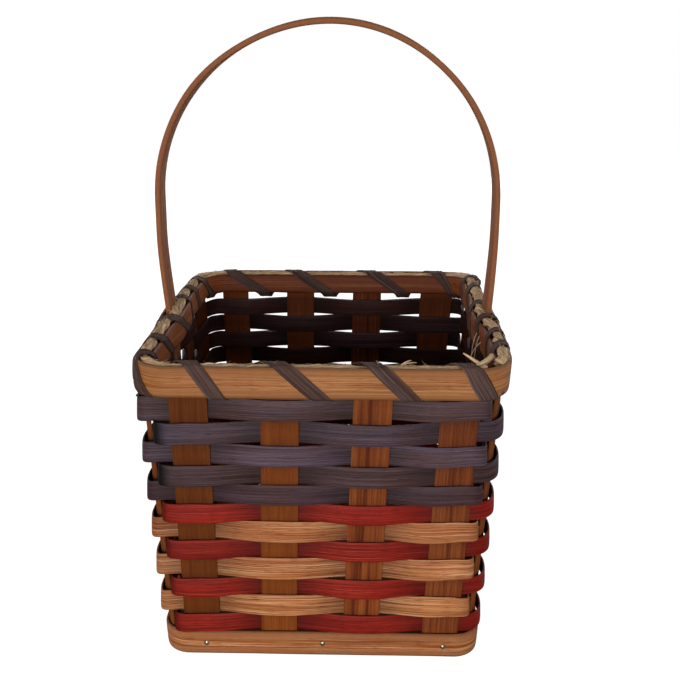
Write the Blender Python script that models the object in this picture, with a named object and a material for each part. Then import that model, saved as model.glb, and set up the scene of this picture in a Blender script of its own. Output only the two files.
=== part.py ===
"""A square splint basket: a wooden base board, flat reed uprights, twelve woven rows, a lashed rim
and a bentwood hoop handle. Lengths are in metres, +Z is up, and the basket stands on z = 0."""

import math

import bmesh
import bpy
import numpy as np
from mathutils import Matrix, Vector

# The wall's middle surface: a rounded square that widens from the table to the rim
BASE_HALF = 0.0706
RIM_HALF = 0.0768
BASE_CORNER_RADIUS = 0.008
RIM_CORNER_RADIUS = 0.010
LAYER_GAP = 0.00025

# Uprights: four flat reeds on each side, with the handle's tail between the middle two on two sides
STAKE_WIDTH = 0.0168
STAKE_THICKNESS = 0.0012
STAKE_LIFT = 0.0005
STAKES_TO_CORNER = 0.001
FACE_INNER_SHARE = 0.343
SIDE_INNER_SHARE = 0.5
STAKES_PER_SIDE = 4
REED_EDGE_SHARE = 0.22

# Woven rows, from the top: five purple, then red and natural by turns
PURPLE_ROW_WIDTH = 0.0091
RED_ROW_WIDTH = 0.0089
NATURAL_ROW_WIDTH = 0.0099
ROW_THICKNESS = 0.0011
ROW_GAP = 0.0003
ROW_GAP_SHARES = {2: 4, 3: 3, 4: 2}
ROW_CROWN = 0.0002
ROW_EDGE_MARGIN = 0.0006
LAP_SPACES = 3
LAP_START = {0: 8, 1: 9}

# Base board and the band nailed round it
BOARD_THICKNESS = 0.010
BAND_HEIGHT = 0.0124
BAND_THICKNESS = 0.0016
BAND_LAP = 0.024

# Tacks, three on each side
TACKS_PER_SIDE = 3
TACK_HEIGHT = 0.0057
TACK_HEAD_RADIUS = 0.0012
TACK_HEAD_THICKNESS = 0.0005
TACK_SHANK_RADIUS = 0.00055
TACK_LENGTH = 0.009
TACK_CLEARANCE = 0.00015
TACK_SEAT_GAP = 0.0001
TACK_CROWN_SHARE = 0.6
TACK_EDGE_SHARE = 0.4
TACK_WELD_SHARE = 0.01
TACK_SIDES = 10

# Rim: an outer and an inner band, a twisted grass filler between their tops, and the lashing
RIM_OUTER_HEIGHT = 0.0142
RIM_INNER_HEIGHT = 0.0128
RIM_BAND_THICKNESS = 0.0020
RIM_LAP = 0.030
LAP_EDGE_THICKNESS = 0.0004
LASH_SLOT = 0.0012
HIDDEN_ROW_LIFT = 0.0006
FILLER_RADIUS = 0.0018
FILLER_DROP = 0.0003
FILLER_SIDES = 8
FILLER_TAIL_RADIUS = 0.0009
FILLER_TAIL_REACH = 0.0088
FILLER_TAIL_RUN = 0.0034
FILLER_TAIL_BEND_SHARES = (0.5, 0.55)
LASH_WIDTH = 0.0046
LASH_THICKNESS = 0.00055
LASH_STEP = 0.0035
LASH_CROWN_SPARE = 0.0002
LASH_CORNER_SPARE = 0.0004
LASH_SHOULDER_SHARE = 0.3
LASH_EASE_SHARE = 0.15
LASH_LEAST_SINE = 0.6

# Handle: a flat bent hoop whose two tails run down the wall as uprights
HANDLE_WIDTH = 0.0155
HANDLE_THICKNESS = 0.0028
HOOP_RADIUS = 0.0786
HOOP_RISE = 0.0548
HANDLE_EDGE_SHARE = 0.28
TAIL_TAPER = 0.004
BULGE_FLAT_MARGIN = 0.00075
BULGE_RAMP = 0.014

# Smoothness
CORNER_STEPS = 4
HOOP_STEPS = 28
LEG_STEPS = 4
BULGE_STEPS = 4
ROW_CORNER_SHARES = (1 / 6, 1 / 2, 5 / 6)
RUN_CHECKS = 9
SHARP_ANGLE = math.radians(35)

# Sections, as shares of the thickness and of the height
ROW_SECTION_SHARES = ((0, 0), (0, 1), (1, 1), (1, 0))
BAND_RIDGE_SHARE = 0.45
BAND_FACE_EASE_SHARE = 0.2
BAND_BACK_EASE_SHARE = 0.03

# How the lashing's gap to itself is measured: points on each stretch, points in a batch, and how many
# stretches count as the same wrap
GAP_POINTS = 5
GAP_BATCH = 400
GAP_SAME_WRAP = 7

# Where the lashing goes under the rim, as a share of a gap between uprights, and how far back
# along the rim it came over the top, as a share of the outer band's height
FACE_LASH_SHARES = ((0, 0.40, 0.85), (1, 0.5, 1.28), (2, 0.5, 1.1))
SIDE_LASH_SHARES = ((0, 0.5, 0.45), (1, 0.26, 0.95), (1, 0.76, 0.12), (2, 0.7, 0.3), (3, 0.6, 0.3))
CORNER_LASH_SHARE = 0.92

FRONT, RIGHT, BACK, LEFT = range(4)
SIDE_NAMES = ("front", "right", "back", "left")
SIDE_COUNT = len(SIDE_NAMES)
HANDLE_SIDES = (RIGHT, LEFT)
QUARTER_TURN = math.pi / 2

ROWS = [("purple", PURPLE_ROW_WIDTH)] * 5
ROWS += [("red", RED_ROW_WIDTH), ("natural", NATURAL_ROW_WIDTH)] * 3 + [("red", RED_ROW_WIDTH)]
ROW_COUNT = len(ROWS)

COLOURS = {
    "board": ((0.42, 0.27, 0.13), 0.65, 0.0),
    "stake": ((0.22, 0.085, 0.022), 0.62, 0.0),
    "purple": ((0.075, 0.055, 0.075), 0.6, 0.0),
    "red": ((0.30, 0.018, 0.012), 0.6, 0.0),
    "natural": ((0.46, 0.22, 0.07), 0.6, 0.0),
    "band": ((0.46, 0.21, 0.07), 0.58, 0.0),
    "filler": ((0.36, 0.26, 0.14), 0.85, 0.0),
    "lash": ((0.07, 0.05, 0.055), 0.6, 0.0),
    "handle": ((0.21, 0.08, 0.03), 0.45, 0.0),
    "tack": ((0.55, 0.50, 0.42), 0.35, 1.0),
}


def row_gap(row):
    """Clear height under a row: the top rows lie looser than the rest."""
    return ROW_GAP * ROW_GAP_SHARES.get(row + 1, 1)


def row_heights():
    """Bottom edge of every row, the first being the top one, stacked up from the bottom band."""
    bottoms = {}
    level = BAND_HEIGHT
    for row in range(ROW_COUNT, 0, -1):
        level += row_gap(row)
        bottoms[row] = level
        level += ROWS[row - 1][1]
    return bottoms, level


ROW_BOTTOMS, ROWS_TOP = row_heights()
RIM_BOTTOM = ROWS_TOP + LASH_SLOT
RIM_TOP = RIM_BOTTOM + RIM_OUTER_HEIGHT
HIDDEN_ROW_BOTTOM = RIM_BOTTOM + HIDDEN_ROW_LIFT
FILLER_HEIGHT = RIM_TOP - FILLER_DROP
STAKE_TOP = FILLER_HEIGHT - FILLER_RADIUS - LAYER_GAP
LAP_SHIFT = ROW_THICKNESS + LAYER_GAP

# Offsets from the wall's middle surface, outward
ROW_FACE = STAKE_THICKNESS / 2 + LAYER_GAP + ROW_THICKNESS
RIM_BAND_SEAT = ROW_FACE + LAYER_GAP
BAND_SEAT = STAKE_THICKNESS / 2 + LAYER_GAP
OUTER_BULGE = HANDLE_THICKNESS / 2 + ROW_THICKNESS + 2 * LAYER_GAP - RIM_BAND_SEAT
FILLER_BULGE = HANDLE_THICKNESS / 2 + LAYER_GAP + FILLER_RADIUS
INNER_BULGE = FILLER_BULGE + FILLER_RADIUS + LAYER_GAP - RIM_BAND_SEAT
LASH_CLEARANCE = LAYER_GAP + LASH_THICKNESS / 2


def wall_half(z):
    return BASE_HALF + (RIM_HALF - BASE_HALF) * z / RIM_TOP


def corner_radius(z):
    return BASE_CORNER_RADIUS + (RIM_CORNER_RADIUS - BASE_CORNER_RADIUS) * z / RIM_TOP


def straight_half(z):
    return wall_half(z) - corner_radius(z)


def quarter_length(z):
    return 2 * straight_half(z) + corner_radius(z) * QUARTER_TURN


def wall_point(side, along, offset, z):
    """The point at height z, along a side from its middle and out from the wall's middle surface."""
    straight = straight_half(z)
    reach = corner_radius(z) + offset
    turn = max(abs(along) - straight, 0) / corner_radius(z)
    x = min(abs(along), straight) + reach * math.sin(turn)
    y = -(straight + reach * math.cos(turn))
    return Matrix.Rotation(side * QUARTER_TURN, 3, "Z") @ Vector((math.copysign(x, along), y, z))


def wall_normal(side, along, z):
    turn = max(abs(along) - straight_half(z), 0) / corner_radius(z)
    normal = Vector((math.copysign(math.sin(turn), along), -math.cos(turn), 0))
    return Matrix.Rotation(side * QUARTER_TURN, 3, "Z") @ normal


def outer_stake(z):
    """How far the outer uprights of a side stand from its middle at height z."""
    return straight_half(z) - STAKES_TO_CORNER - STAKE_WIDTH / 2


def upright_shares(side):
    """Where the four reeds of a side stand, as shares of the outer ones' distance."""
    inner_share = SIDE_INNER_SHARE if side in HANDLE_SIDES else FACE_INNER_SHARE
    return (-1, -inner_share, inner_share, 1)


def uprights(side, z):
    """Middle, width and half thickness of each upright of a side, in the order of travel."""
    found = [(share * outer_stake(z), STAKE_WIDTH, STAKE_THICKNESS / 2) for share in upright_shares(side)]
    if side in HANDLE_SIDES:
        half = HANDLE_THICKNESS / 2 if z > RIM_BOTTOM else STAKE_THICKNESS / 2
        found.insert(2, (0, HANDLE_WIDTH, half))
    return found


def handle_bulge(side, along):
    """1 beside a handle leg, falling smoothly to 0 away from it."""
    if side not in HANDLE_SIDES:
        return 0
    past = (abs(along) - HANDLE_WIDTH / 2 - BULGE_FLAT_MARGIN) / BULGE_RAMP
    return (1 + math.cos(math.pi * min(max(past, 0), 1))) / 2


def material(name):
    made = bpy.data.materials.get(name) or bpy.data.materials.new(name)
    made.use_nodes = True
    colour, roughness, metallic = COLOURS[name]
    shader = made.node_tree.nodes["Principled BSDF"]
    shader.inputs["Base Color"].default_value = (*colour, 1)
    shader.inputs["Roughness"].default_value = roughness
    shader.inputs["Metallic"].default_value = metallic
    made.diffuse_color = (*colour, 1)
    return made


def add_object(name, mesh, finish, parent, location=(0, 0, 0), turn=0):
    made = bpy.data.objects.new(name, mesh)
    bpy.context.scene.collection.objects.link(made)
    made.data.materials.clear()
    made.data.materials.append(material(finish))
    made.parent = parent
    made.location = location
    made.rotation_euler = (0, 0, turn)
    return made


def loft(name, sections, lift=0):
    """A closed mesh through rings of points, capped at both ends, with its origin lifted to a height."""
    shape = bmesh.new()
    rings = [[shape.verts.new(Vector(point) - Vector((0, 0, lift))) for point in ring] for ring in sections]
    count = len(rings[0])
    for near, far in zip(rings, rings[1:]):
        for i in range(count):
            j = (i + 1) % count
            shape.faces.new((near[i], near[j], far[j], far[i]))
    shape.faces.new(rings[0][::-1])
    shape.faces.new(rings[-1])
    bmesh.ops.recalc_face_normals(shape, faces=shape.faces)
    mesh = bpy.data.meshes.new(name)
    shape.to_mesh(mesh)
    shape.free()
    mesh.shade_smooth()
    mesh.set_sharp_from_angle(angle=SHARP_ANGLE)
    return mesh


def strip_section(stop, inner, outer, bottom, top, shares):
    """One ring of points of a splint that follows the wall."""
    side, along = stop
    ring = []
    for across, up in shares:
        ring.append(wall_point(side, along, inner + across * (outer - inner), bottom + up * (top - bottom)))
    return ring


def upright_at(index):
    """Side and number of the upright with this index round the basket, starting at the front left."""
    counts = [len(uprights(side, 0)) for side in range(SIDE_COUNT)]
    index %= sum(counts)
    for side, count in enumerate(counts):
        if index < count:
            return side, index
        index -= count


UPRIGHT_COUNT = sum(len(uprights(side, 0)) for side in range(SIDE_COUNT))


def upright_offset(step, index, row, half):
    """Offset of a row's middle where it passes an upright; laps lie one reed farther out or in."""
    reach = half + LAYER_GAP + ROW_THICKNESS / 2
    outside = (index + row) % 2 == 0
    first_lap = row > 0 and step <= LAP_SPACES
    second_lap = row > 0 and step >= UPRIGHT_COUNT
    if outside:
        return reach + (LAP_SHIFT if second_lap else 0)
    return -reach - (LAP_SHIFT if first_lap else 0)


def row_stops(row, z):
    """Places along a row with the offset of its middle: both edges and the crown at each upright."""
    start = LAP_START[row % 2]
    laps = LAP_SPACES if row > 0 else 0
    last = UPRIGHT_COUNT + laps
    butt = 0 if laps else LAYER_GAP
    crown = ROW_CROWN if laps else 0
    stops = []
    for step in range(last + 1):
        side, number = upright_at(start + step)
        middle, width, half = uprights(side, z)[number]
        offset = upright_offset(step, start + step, row, half)
        reach = width / 2 + ROW_EDGE_MARGIN
        places = [(middle - reach, 0), (middle, crown), (middle + reach, 0)]
        if step == 0:
            places = [(middle + butt, crown), places[2]]
        elif step == last:
            places = [places[0], (middle - butt, crown)]
        if stops and stops[-1][0] != side:
            stops += corner_stops(stops[-1], (side, places[0][0], offset), z)
        stops += [(side, along, offset + math.copysign(rise, offset)) for along, rise in places]
    return stops


def corner_stops(before, after, z):
    """Places round a corner, where a row crosses from one face of the wall to the other."""
    straight = straight_half(z)
    arc = corner_radius(z) * QUARTER_TURN
    run_in = straight - before[1]
    whole = run_in + arc + straight + after[1]
    found = []
    for share in ROW_CORNER_SHARES:
        passed = (run_in + share * arc) / whole
        found.append((before[0], straight + share * arc, before[2] + passed * (after[2] - before[2])))
    return found


def make_row(row, bottom, width, finish, name, parent):
    middle = bottom + width / 2
    sections = []
    for side, along, offset in row_stops(row, middle):
        inner, outer = offset - ROW_THICKNESS / 2, offset + ROW_THICKNESS / 2
        stop = (side, along)
        sections.append(strip_section(stop, inner, outer, bottom, bottom + width, ROW_SECTION_SHARES))
    add_object(name, loft(name, sections, middle), finish, parent, (0, 0, middle))


def bulge_stops():
    """Places along a side where a band or the filler goes round a handle leg."""
    flat = HANDLE_WIDTH / 2 + BULGE_FLAT_MARGIN
    ramp = [flat + BULGE_RAMP * step / BULGE_STEPS for step in range(BULGE_STEPS + 1)]
    return [-along for along in reversed(ramp)] + [0] + ramp


def ring_stops(z, lap):
    """Places along a band that starts before the middle of the back and laps over its own start."""
    straight = straight_half(z)
    arc = corner_radius(z) * QUARTER_TURN
    stops = []
    for turn in range(SIDE_COUNT + 1):
        side = (BACK + turn) % SIDE_COUNT
        places = [-straight]
        if side in HANDLE_SIDES:
            places += bulge_stops()
        places.append(straight)
        places += [straight + arc * step / CORNER_STEPS for step in range(1, CORNER_STEPS)]
        if turn == 0:
            places = [-lap / 2, lap / 2] + places[1:]
        if turn == SIDE_COUNT:
            places = [-straight, -lap / 2, lap / 2]
        stops += [(side, along) for along in places]
    return stops


def band_edge(across):
    """How far a band's edges stand back at a share of its thickness, as a share of its height."""
    if across < BAND_RIDGE_SHARE:
        return BAND_BACK_EASE_SHARE * (1 - across / BAND_RIDGE_SHARE)
    return BAND_FACE_EASE_SHARE * (across - BAND_RIDGE_SHARE) / (1 - BAND_RIDGE_SHARE)


def band_shares(near, far):
    """A band's six-sided section, or what is left of it between two shares of its thickness."""
    ridge = BAND_RIDGE_SHARE if near < BAND_RIDGE_SHARE < far else (near + far) / 2
    lower = [(across, band_edge(across)) for across in (near, ridge, far)]
    upper = [(across, 1 - edge) for across, edge in lower]
    return lower[:1] + upper + lower[:0:-1]


def lapped_shares(number, count, thickness):
    """The section at a station: the two ends are shaved to wedges that lie one on the other."""
    thin = LAP_EDGE_THICKNESS / thickness
    thick = 1 - thin - LAYER_GAP / thickness
    spans = {0: (0, thin), 1: (0, thick), count - 2: (1 - thick, 1), count - 1: (1 - thin, 1)}
    return band_shares(*spans.get(number, (0, 1)))


def make_band(name, bottom, height, seat, thickness, lap, bulge, parent):
    """A splint round the wall; it lies outside where its seat is positive, else inside."""
    outward = math.copysign(1, seat)
    stops = ring_stops(bottom + height / 2, lap)
    sections = []
    for number, (side, along) in enumerate(stops):
        near = abs(seat) + bulge * handle_bulge(side, along)
        shares = lapped_shares(number, len(stops), thickness)
        faces = (outward * near, outward * (near + thickness))
        sections.append(strip_section((side, along), *faces, bottom, bottom + height, shares))
    middle = bottom + height / 2
    return add_object(name, loft(name, sections, middle), "band", parent, (0, 0, middle))


def eased_shares(ease, edge):
    """An eight-sided section, flat with eased edges, as shares of its thickness and its width."""
    return (
        (0, edge), (0, 1 - edge), (ease, 1), (1 - ease, 1),
        (1, 1 - edge), (1, edge), (1 - ease, 0), (ease, 0),
    )


def make_stake(side, number, name, parent):
    """A flat reed upright that leans with the wall, drawn at the front and turned to its side."""
    inset = STAKE_THICKNESS * REED_EDGE_SHARE
    sections = []
    for z in (STAKE_LIFT, STAKE_TOP):
        middle = outer_stake(z) * upright_shares(side)[number]
        left, right = middle - STAKE_WIDTH / 2, middle + STAKE_WIDTH / 2
        back, front = -wall_half(z) + STAKE_THICKNESS / 2, -wall_half(z) - STAKE_THICKNESS / 2
        middle_plane = (back + front) / 2
        ring = [
            (left + inset, back), (right - inset, back), (right, middle_plane),
            (right - inset, front), (left + inset, front), (left, middle_plane),
        ]
        sections.append([(x, y, z) for x, y in ring])
    return add_object(name, loft(name, sections), "stake", parent, turn=side * QUARTER_TURN)


def handle_stations():
    """Inner and outer edge of the right half of the hoop, from the tail's foot to the top."""
    tail, leg = STAKE_THICKNESS / 2, HANDLE_THICKNESS / 2
    stations = []
    for z, half in ((STAKE_LIFT, tail), (ROWS_TOP, tail), (RIM_BOTTOM + TAIL_TAPER, leg), (RIM_TOP, leg)):
        middle = wall_half(z)
        stations.append(((middle - half, z), (middle + half, z)))
    for step in range(1, LEG_STEPS):
        share = step / LEG_STEPS
        middle = RIM_HALF + (HOOP_RADIUS - RIM_HALF) * math.sin(share * QUARTER_TURN)
        z = RIM_TOP + HOOP_RISE * share
        stations.append(((middle - leg, z), (middle + leg, z)))
    for step in range(HOOP_STEPS // 2 + 1):
        angle = QUARTER_TURN * step / (HOOP_STEPS // 2)
        points = []
        for radius in (HOOP_RADIUS - leg, HOOP_RADIUS + leg):
            points.append((radius * math.cos(angle), RIM_TOP + HOOP_RISE + radius * math.sin(angle)))
        stations.append(tuple(points))
    return stations


def make_handle(parent):
    right = handle_stations()
    left = [((-a[0], a[1]), (-b[0], b[1])) for a, b in right[-2::-1]]
    sections = []
    for inner, outer in right + left:
        thickness = math.dist(inner, outer)
        edge = HANDLE_EDGE_SHARE * thickness / HANDLE_WIDTH
        ring = []
        for across, up in eased_shares(HANDLE_EDGE_SHARE, edge):
            x = inner[0] + across * (outer[0] - inner[0])
            z = inner[1] + across * (outer[1] - inner[1])
            ring.append((x, up * HANDLE_WIDTH - HANDLE_WIDTH / 2, z))
        sections.append(ring)
    return add_object("handle", loft("handle", sections), "handle", parent)


def make_board(parent):
    """The base board, cut to the inside of the uprights so that its edge slopes with them."""
    sections = []
    for z in (0, BOARD_THICKNESS):
        ring = []
        for side in range(SIDE_COUNT):
            arc = corner_radius(z) * QUARTER_TURN
            for step in range(CORNER_STEPS + 1):
                along = straight_half(z) + arc * step / CORNER_STEPS
                ring.append(wall_point(side, along, -BAND_SEAT, z))
        sections.append(ring)
    return add_object("base_board", loft("base_board", sections), "board", parent)


def tack_places():
    """Side and distance along it of every tack: the two outer uprights and the middle."""
    reach = outer_stake(TACK_HEIGHT)
    places = [reach * step / (TACKS_PER_SIDE - 1) for step in range(1 - TACKS_PER_SIDE, TACKS_PER_SIDE, 2)]
    return [(side, along) for side in range(SIDE_COUNT) for along in places]


def cylinder_mesh(shape, radius, start, end, sides):
    """A closed cylinder along Y between two distances, added to a bmesh."""
    turned = Matrix.Translation((0, (start + end) / 2, 0)) @ Matrix.Rotation(QUARTER_TURN, 4, "X")
    bmesh.ops.create_cone(
        shape, cap_ends=True, segments=sides, radius1=radius, radius2=radius,
        depth=abs(end - start), matrix=turned,
    )


def tack_mesh():
    """A tack turned about Y: its head's underside at y = 0 and its shank pointing to +y."""
    profile = (
        (0, -TACK_HEAD_THICKNESS), (TACK_HEAD_RADIUS * TACK_CROWN_SHARE, -TACK_HEAD_THICKNESS),
        (TACK_HEAD_RADIUS, -TACK_HEAD_THICKNESS * TACK_EDGE_SHARE),
        (TACK_HEAD_RADIUS, 0), (TACK_SHANK_RADIUS, 0),
        (TACK_SHANK_RADIUS, TACK_LENGTH - 2 * TACK_SHANK_RADIUS), (0, TACK_LENGTH),
    )
    shape = bmesh.new()
    points = [shape.verts.new((radius, y, 0)) for radius, y in profile]
    edges = [shape.edges.new(pair) for pair in zip(points, points[1:])]
    bmesh.ops.spin(
        shape, geom=points + edges, cent=(0, 0, 0), axis=(0, 1, 0), angle=2 * math.pi,
        steps=TACK_SIDES, use_merge=True,
    )
    bmesh.ops.remove_doubles(shape, verts=shape.verts, dist=TACK_SHANK_RADIUS * TACK_WELD_SHARE)
    bmesh.ops.recalc_face_normals(shape, faces=shape.faces)
    mesh = bpy.data.meshes.new("tack")
    shape.to_mesh(mesh)
    shape.free()
    return mesh


def tack_seat():
    """Distance from the basket's axis to the underside of a tack's head."""
    return wall_half(TACK_HEIGHT) + BAND_SEAT + BAND_THICKNESS + TACK_SEAT_GAP


def make_tacks(parent):
    mesh = tack_mesh()
    for number, (side, along) in enumerate(tack_places()):
        place = Matrix.Rotation(side * QUARTER_TURN, 3, "Z") @ Vector((along, -tack_seat(), TACK_HEIGHT))
        name = f"tack_{SIDE_NAMES[side]}_{number % TACKS_PER_SIDE + 1}"
        add_object(name, mesh, "tack", parent, place, side * QUARTER_TURN)


def tack_cutter():
    """The holes of all tacks as one hidden cutter."""
    shape = bmesh.new()
    for side, along in tack_places():
        hole = bmesh.new()
        radius = TACK_SHANK_RADIUS + TACK_CLEARANCE
        cylinder_mesh(hole, radius, -TACK_HEAD_THICKNESS, TACK_LENGTH + LAYER_GAP, TACK_SIDES)
        turn = Matrix.Rotation(side * QUARTER_TURN, 4, "Z")
        hole.transform(turn @ Matrix.Translation((along, -tack_seat(), TACK_HEIGHT)))
        piece = bpy.data.meshes.new("hole")
        hole.to_mesh(piece)
        hole.free()
        shape.from_mesh(piece)
        bpy.data.meshes.remove(piece)
    bmesh.ops.recalc_face_normals(shape, faces=shape.faces)
    mesh = bpy.data.meshes.new("tack_holes")
    shape.to_mesh(mesh)
    shape.free()
    cutter = bpy.data.objects.new("tack_holes", mesh)
    bpy.context.scene.collection.objects.link(cutter)
    cutter.hide_render = True
    cutter.display_type = "WIRE"
    return cutter


def drill(target, cutter):
    cut = target.modifiers.new("tack holes", "BOOLEAN")
    cut.operation = "DIFFERENCE"
    cut.solver = "EXACT"
    cut.object = cutter


def filler_stations():
    """Centre and radius along the filler: a thin tail laid over the inner band at the front right
    corner, then once round the groove between the bands, ending short of the tail."""
    z = RIM_TOP
    straight = straight_half(z)
    arc = corner_radius(z) * QUARTER_TURN
    half = wall_half(z)
    over = RIM_TOP + LAYER_GAP + FILLER_TAIL_RADIUS
    run_share, reach_share = FILLER_TAIL_BEND_SHARES
    tail = [
        (straight - FILLER_TAIL_RUN, FILLER_TAIL_REACH - half),
        (straight - run_share * FILLER_TAIL_RUN, reach_share * FILLER_TAIL_REACH - half),
        (straight, FILLER_RADIUS - half),
    ]
    stations = [(Vector((x, y, over)), FILLER_TAIL_RADIUS) for x, y in tail]
    for turn in range(1, SIDE_COUNT + 1):
        side = turn % SIDE_COUNT
        places = [-straight - arc + arc * step / CORNER_STEPS for step in range(1, CORNER_STEPS)]
        places.append(-straight)
        if side in HANDLE_SIDES:
            places += bulge_stops()
        places.append(straight - FILLER_TAIL_RUN if turn == SIDE_COUNT else straight)
        for along in places:
            centre = wall_point(side, along, -FILLER_BULGE * handle_bulge(side, along), z)
            centre.z = FILLER_HEIGHT
            stations.append((centre, FILLER_RADIUS))
    return stations


def make_filler(parent):
    stations = filler_stations()
    sections = []
    for number, (centre, radius) in enumerate(stations):
        before = stations[max(number - 1, 0)][0]
        after = stations[min(number + 1, len(stations) - 1)][0]
        along = (after - before).normalized()
        across = along.cross(Vector((0, 0, 1))).normalized()
        up = across.cross(along)
        ring = []
        for step in range(FILLER_SIDES):
            angle = 2 * math.pi * (step + 0.5) / FILLER_SIDES
            ring.append(centre + radius * (math.cos(angle) * across + math.sin(angle) * up))
        sections.append(ring)
    middle = FILLER_HEIGHT
    add_object("rim_filler", loft("rim_filler", sections, middle), "filler", parent, (0, 0, middle))


def lash_wraps():
    """Distances round the rim, from the middle of the front, at which each wrap comes over the top
    and goes under the bands."""
    z = RIM_TOP
    quarter = quarter_length(z)
    wraps = []
    for side in range(SIDE_COUNT):
        found = uprights(side, z)
        shares = SIDE_LASH_SHARES if side in HANDLE_SIDES else FACE_LASH_SHARES
        for gap, share, lead in shares:
            left = found[gap][0] + found[gap][1] / 2
            right = found[gap + 1][0] - found[gap + 1][1] / 2
            under = side * quarter + left + share * (right - left)
            wraps.append((under - lead * RIM_OUTER_HEIGHT, under))
        under = (side + 0.5) * quarter
        wraps.append((under - CORNER_LASH_SHARE * RIM_OUTER_HEIGHT, under))
    return wraps


def rim_place(distance):
    """Side and place along it at a distance round the rim."""
    quarter = quarter_length(RIM_TOP)
    turn = math.floor(distance / quarter + 0.5)
    return turn % SIDE_COUNT, distance - turn * quarter


def lash_spot(distance, outward, gap, z):
    """A point of the lashing: a gap out from a band's face, or over the filler where outward is 0."""
    side, along = rim_place(distance)
    bulge = handle_bulge(side, along)
    if outward == 0:
        return wall_point(side, along, -FILLER_BULGE * bulge, z)
    push = (OUTER_BULGE if outward > 0 else INNER_BULGE) * bulge
    return wall_point(side, along, outward * (RIM_BAND_SEAT + RIM_BAND_THICKNESS + push + gap), z)


def face_run(start, end, outward, z_start, z_end):
    """Stations up or down one face of the rim, closer together round a corner or a handle leg."""
    places = [rim_place(distance) for distance in np.linspace(start, end, RUN_CHECKS)]
    cornered = any(abs(along) > straight_half(RIM_TOP) for side, along in places)
    curved = cornered or any(handle_bulge(side, along) > 0 for side, along in places)
    steps = max(math.ceil(abs(end - start) / LASH_STEP), 1) if curved else 1
    gap = LASH_CLEARANCE + (LASH_CORNER_SPARE if cornered and outward > 0 else 0)
    run, rise = (end - start) / steps, (z_end - z_start) / steps
    return [(start + step * run, outward, gap, z_start + step * rise) for step in range(steps + 1)]


def lash_stations():
    """The lashing's way: up the inside, over the filler, down the outside and under the bands."""
    over = RIM_TOP + LASH_CLEARANCE
    crown = FILLER_HEIGHT + FILLER_RADIUS + LASH_CLEARANCE + LASH_CROWN_SPARE
    slot = RIM_BOTTOM - LASH_CLEARANCE
    inner_bottom = RIM_TOP - RIM_INNER_HEIGHT
    top_face = RIM_TOP - BAND_FACE_EASE_SHARE * RIM_OUTER_HEIGHT
    outer_foot = RIM_BOTTOM + BAND_FACE_EASE_SHARE * RIM_OUTER_HEIGHT
    inner_foot = inner_bottom + BAND_FACE_EASE_SHARE * RIM_INNER_HEIGHT
    shoulder = -LASH_SHOULDER_SHARE * RIM_BAND_THICKNESS
    stations = []
    under = -0.5 * quarter_length(RIM_TOP)
    for top, next_under in lash_wraps():
        rise, fall = (top - under) * LASH_EASE_SHARE, (next_under - top) * LASH_EASE_SHARE
        stations.append((under, -1, shoulder, inner_bottom - LASH_CLEARANCE))
        stations += face_run(under + rise, top - rise, -1, inner_foot, top_face)
        stations += [(top, -1, shoulder, over), (top, 0, 0, crown), (top, 1, shoulder, over)]
        stations += face_run(top + fall, next_under - fall, 1, top_face, outer_foot)
        stations += [(next_under, 1, shoulder, slot), (next_under, -1, -RIM_BAND_THICKNESS, slot)]
        under = next_under
    return stations[:-1]


def lash_section(before, station, after):
    """Three points across the strip, inside and outside; it is cut level, along the rim."""
    distance, outward, gap, z = station
    side, along = rim_place(distance)
    travel = (lash_spot(*after) - lash_spot(*before)).normalized()
    level = wall_normal(side, along, z).cross(Vector((0, 0, 1)))
    facing = level.cross(travel)
    reach = LASH_WIDTH / 2 / max(facing.length, LASH_LEAST_SINE)
    if abs(along) > straight_half(z):
        reach /= 1 + outward * (RIM_BAND_SEAT + RIM_BAND_THICKNESS) / corner_radius(z)
    half = facing.normalized() * LASH_THICKNESS / 2
    line = [lash_spot(distance + step * reach, outward, gap, z) for step in (-1, 0, 1)]
    return [point - half for point in line] + [point + half for point in reversed(line)]


def make_lashing(parent):
    stations = lash_stations()
    sections = []
    for number, station in enumerate(stations):
        before = stations[max(number - 1, 0)]
        after = stations[min(number + 1, len(stations) - 1)]
        sections.append(lash_section(before, station, after))
    middle = RIM_TOP
    add_object("rim_lashing", loft("rim_lashing", sections, middle), "lash", parent, (0, 0, middle))
    report_lash_gap(np.array([[tuple(corner) for corner in ring] for ring in sections]))


def report_lash_gap(rings):
    """Prints the least distance between wraps of the lashing, measured on points of its edges."""
    share = np.linspace(0, 1, GAP_POINTS)[:, None, None, None]
    dense = rings[None, :-1] * (1 - share) + rings[None, 1:] * share
    dense = dense.transpose(1, 0, 2, 3).reshape(-1, 3)
    travelled = np.repeat(np.arange(len(rings) - 1), GAP_POINTS * rings.shape[1])
    least = math.inf
    for start in range(0, len(dense), GAP_BATCH):
        batch = slice(start, start + GAP_BATCH)
        apart = np.linalg.norm(dense[batch, None] - dense[None], axis=2)
        near = np.abs(travelled[batch, None] - travelled[None]) < GAP_SAME_WRAP
        least = min(least, apart[~near].min())
    print(f"lashing: {len(lash_wraps())} wraps, least gap to itself {least * 1000:.2f} mm")


def clear_scene():
    for item in list(bpy.data.objects):
        bpy.data.objects.remove(item, do_unlink=True)


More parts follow.
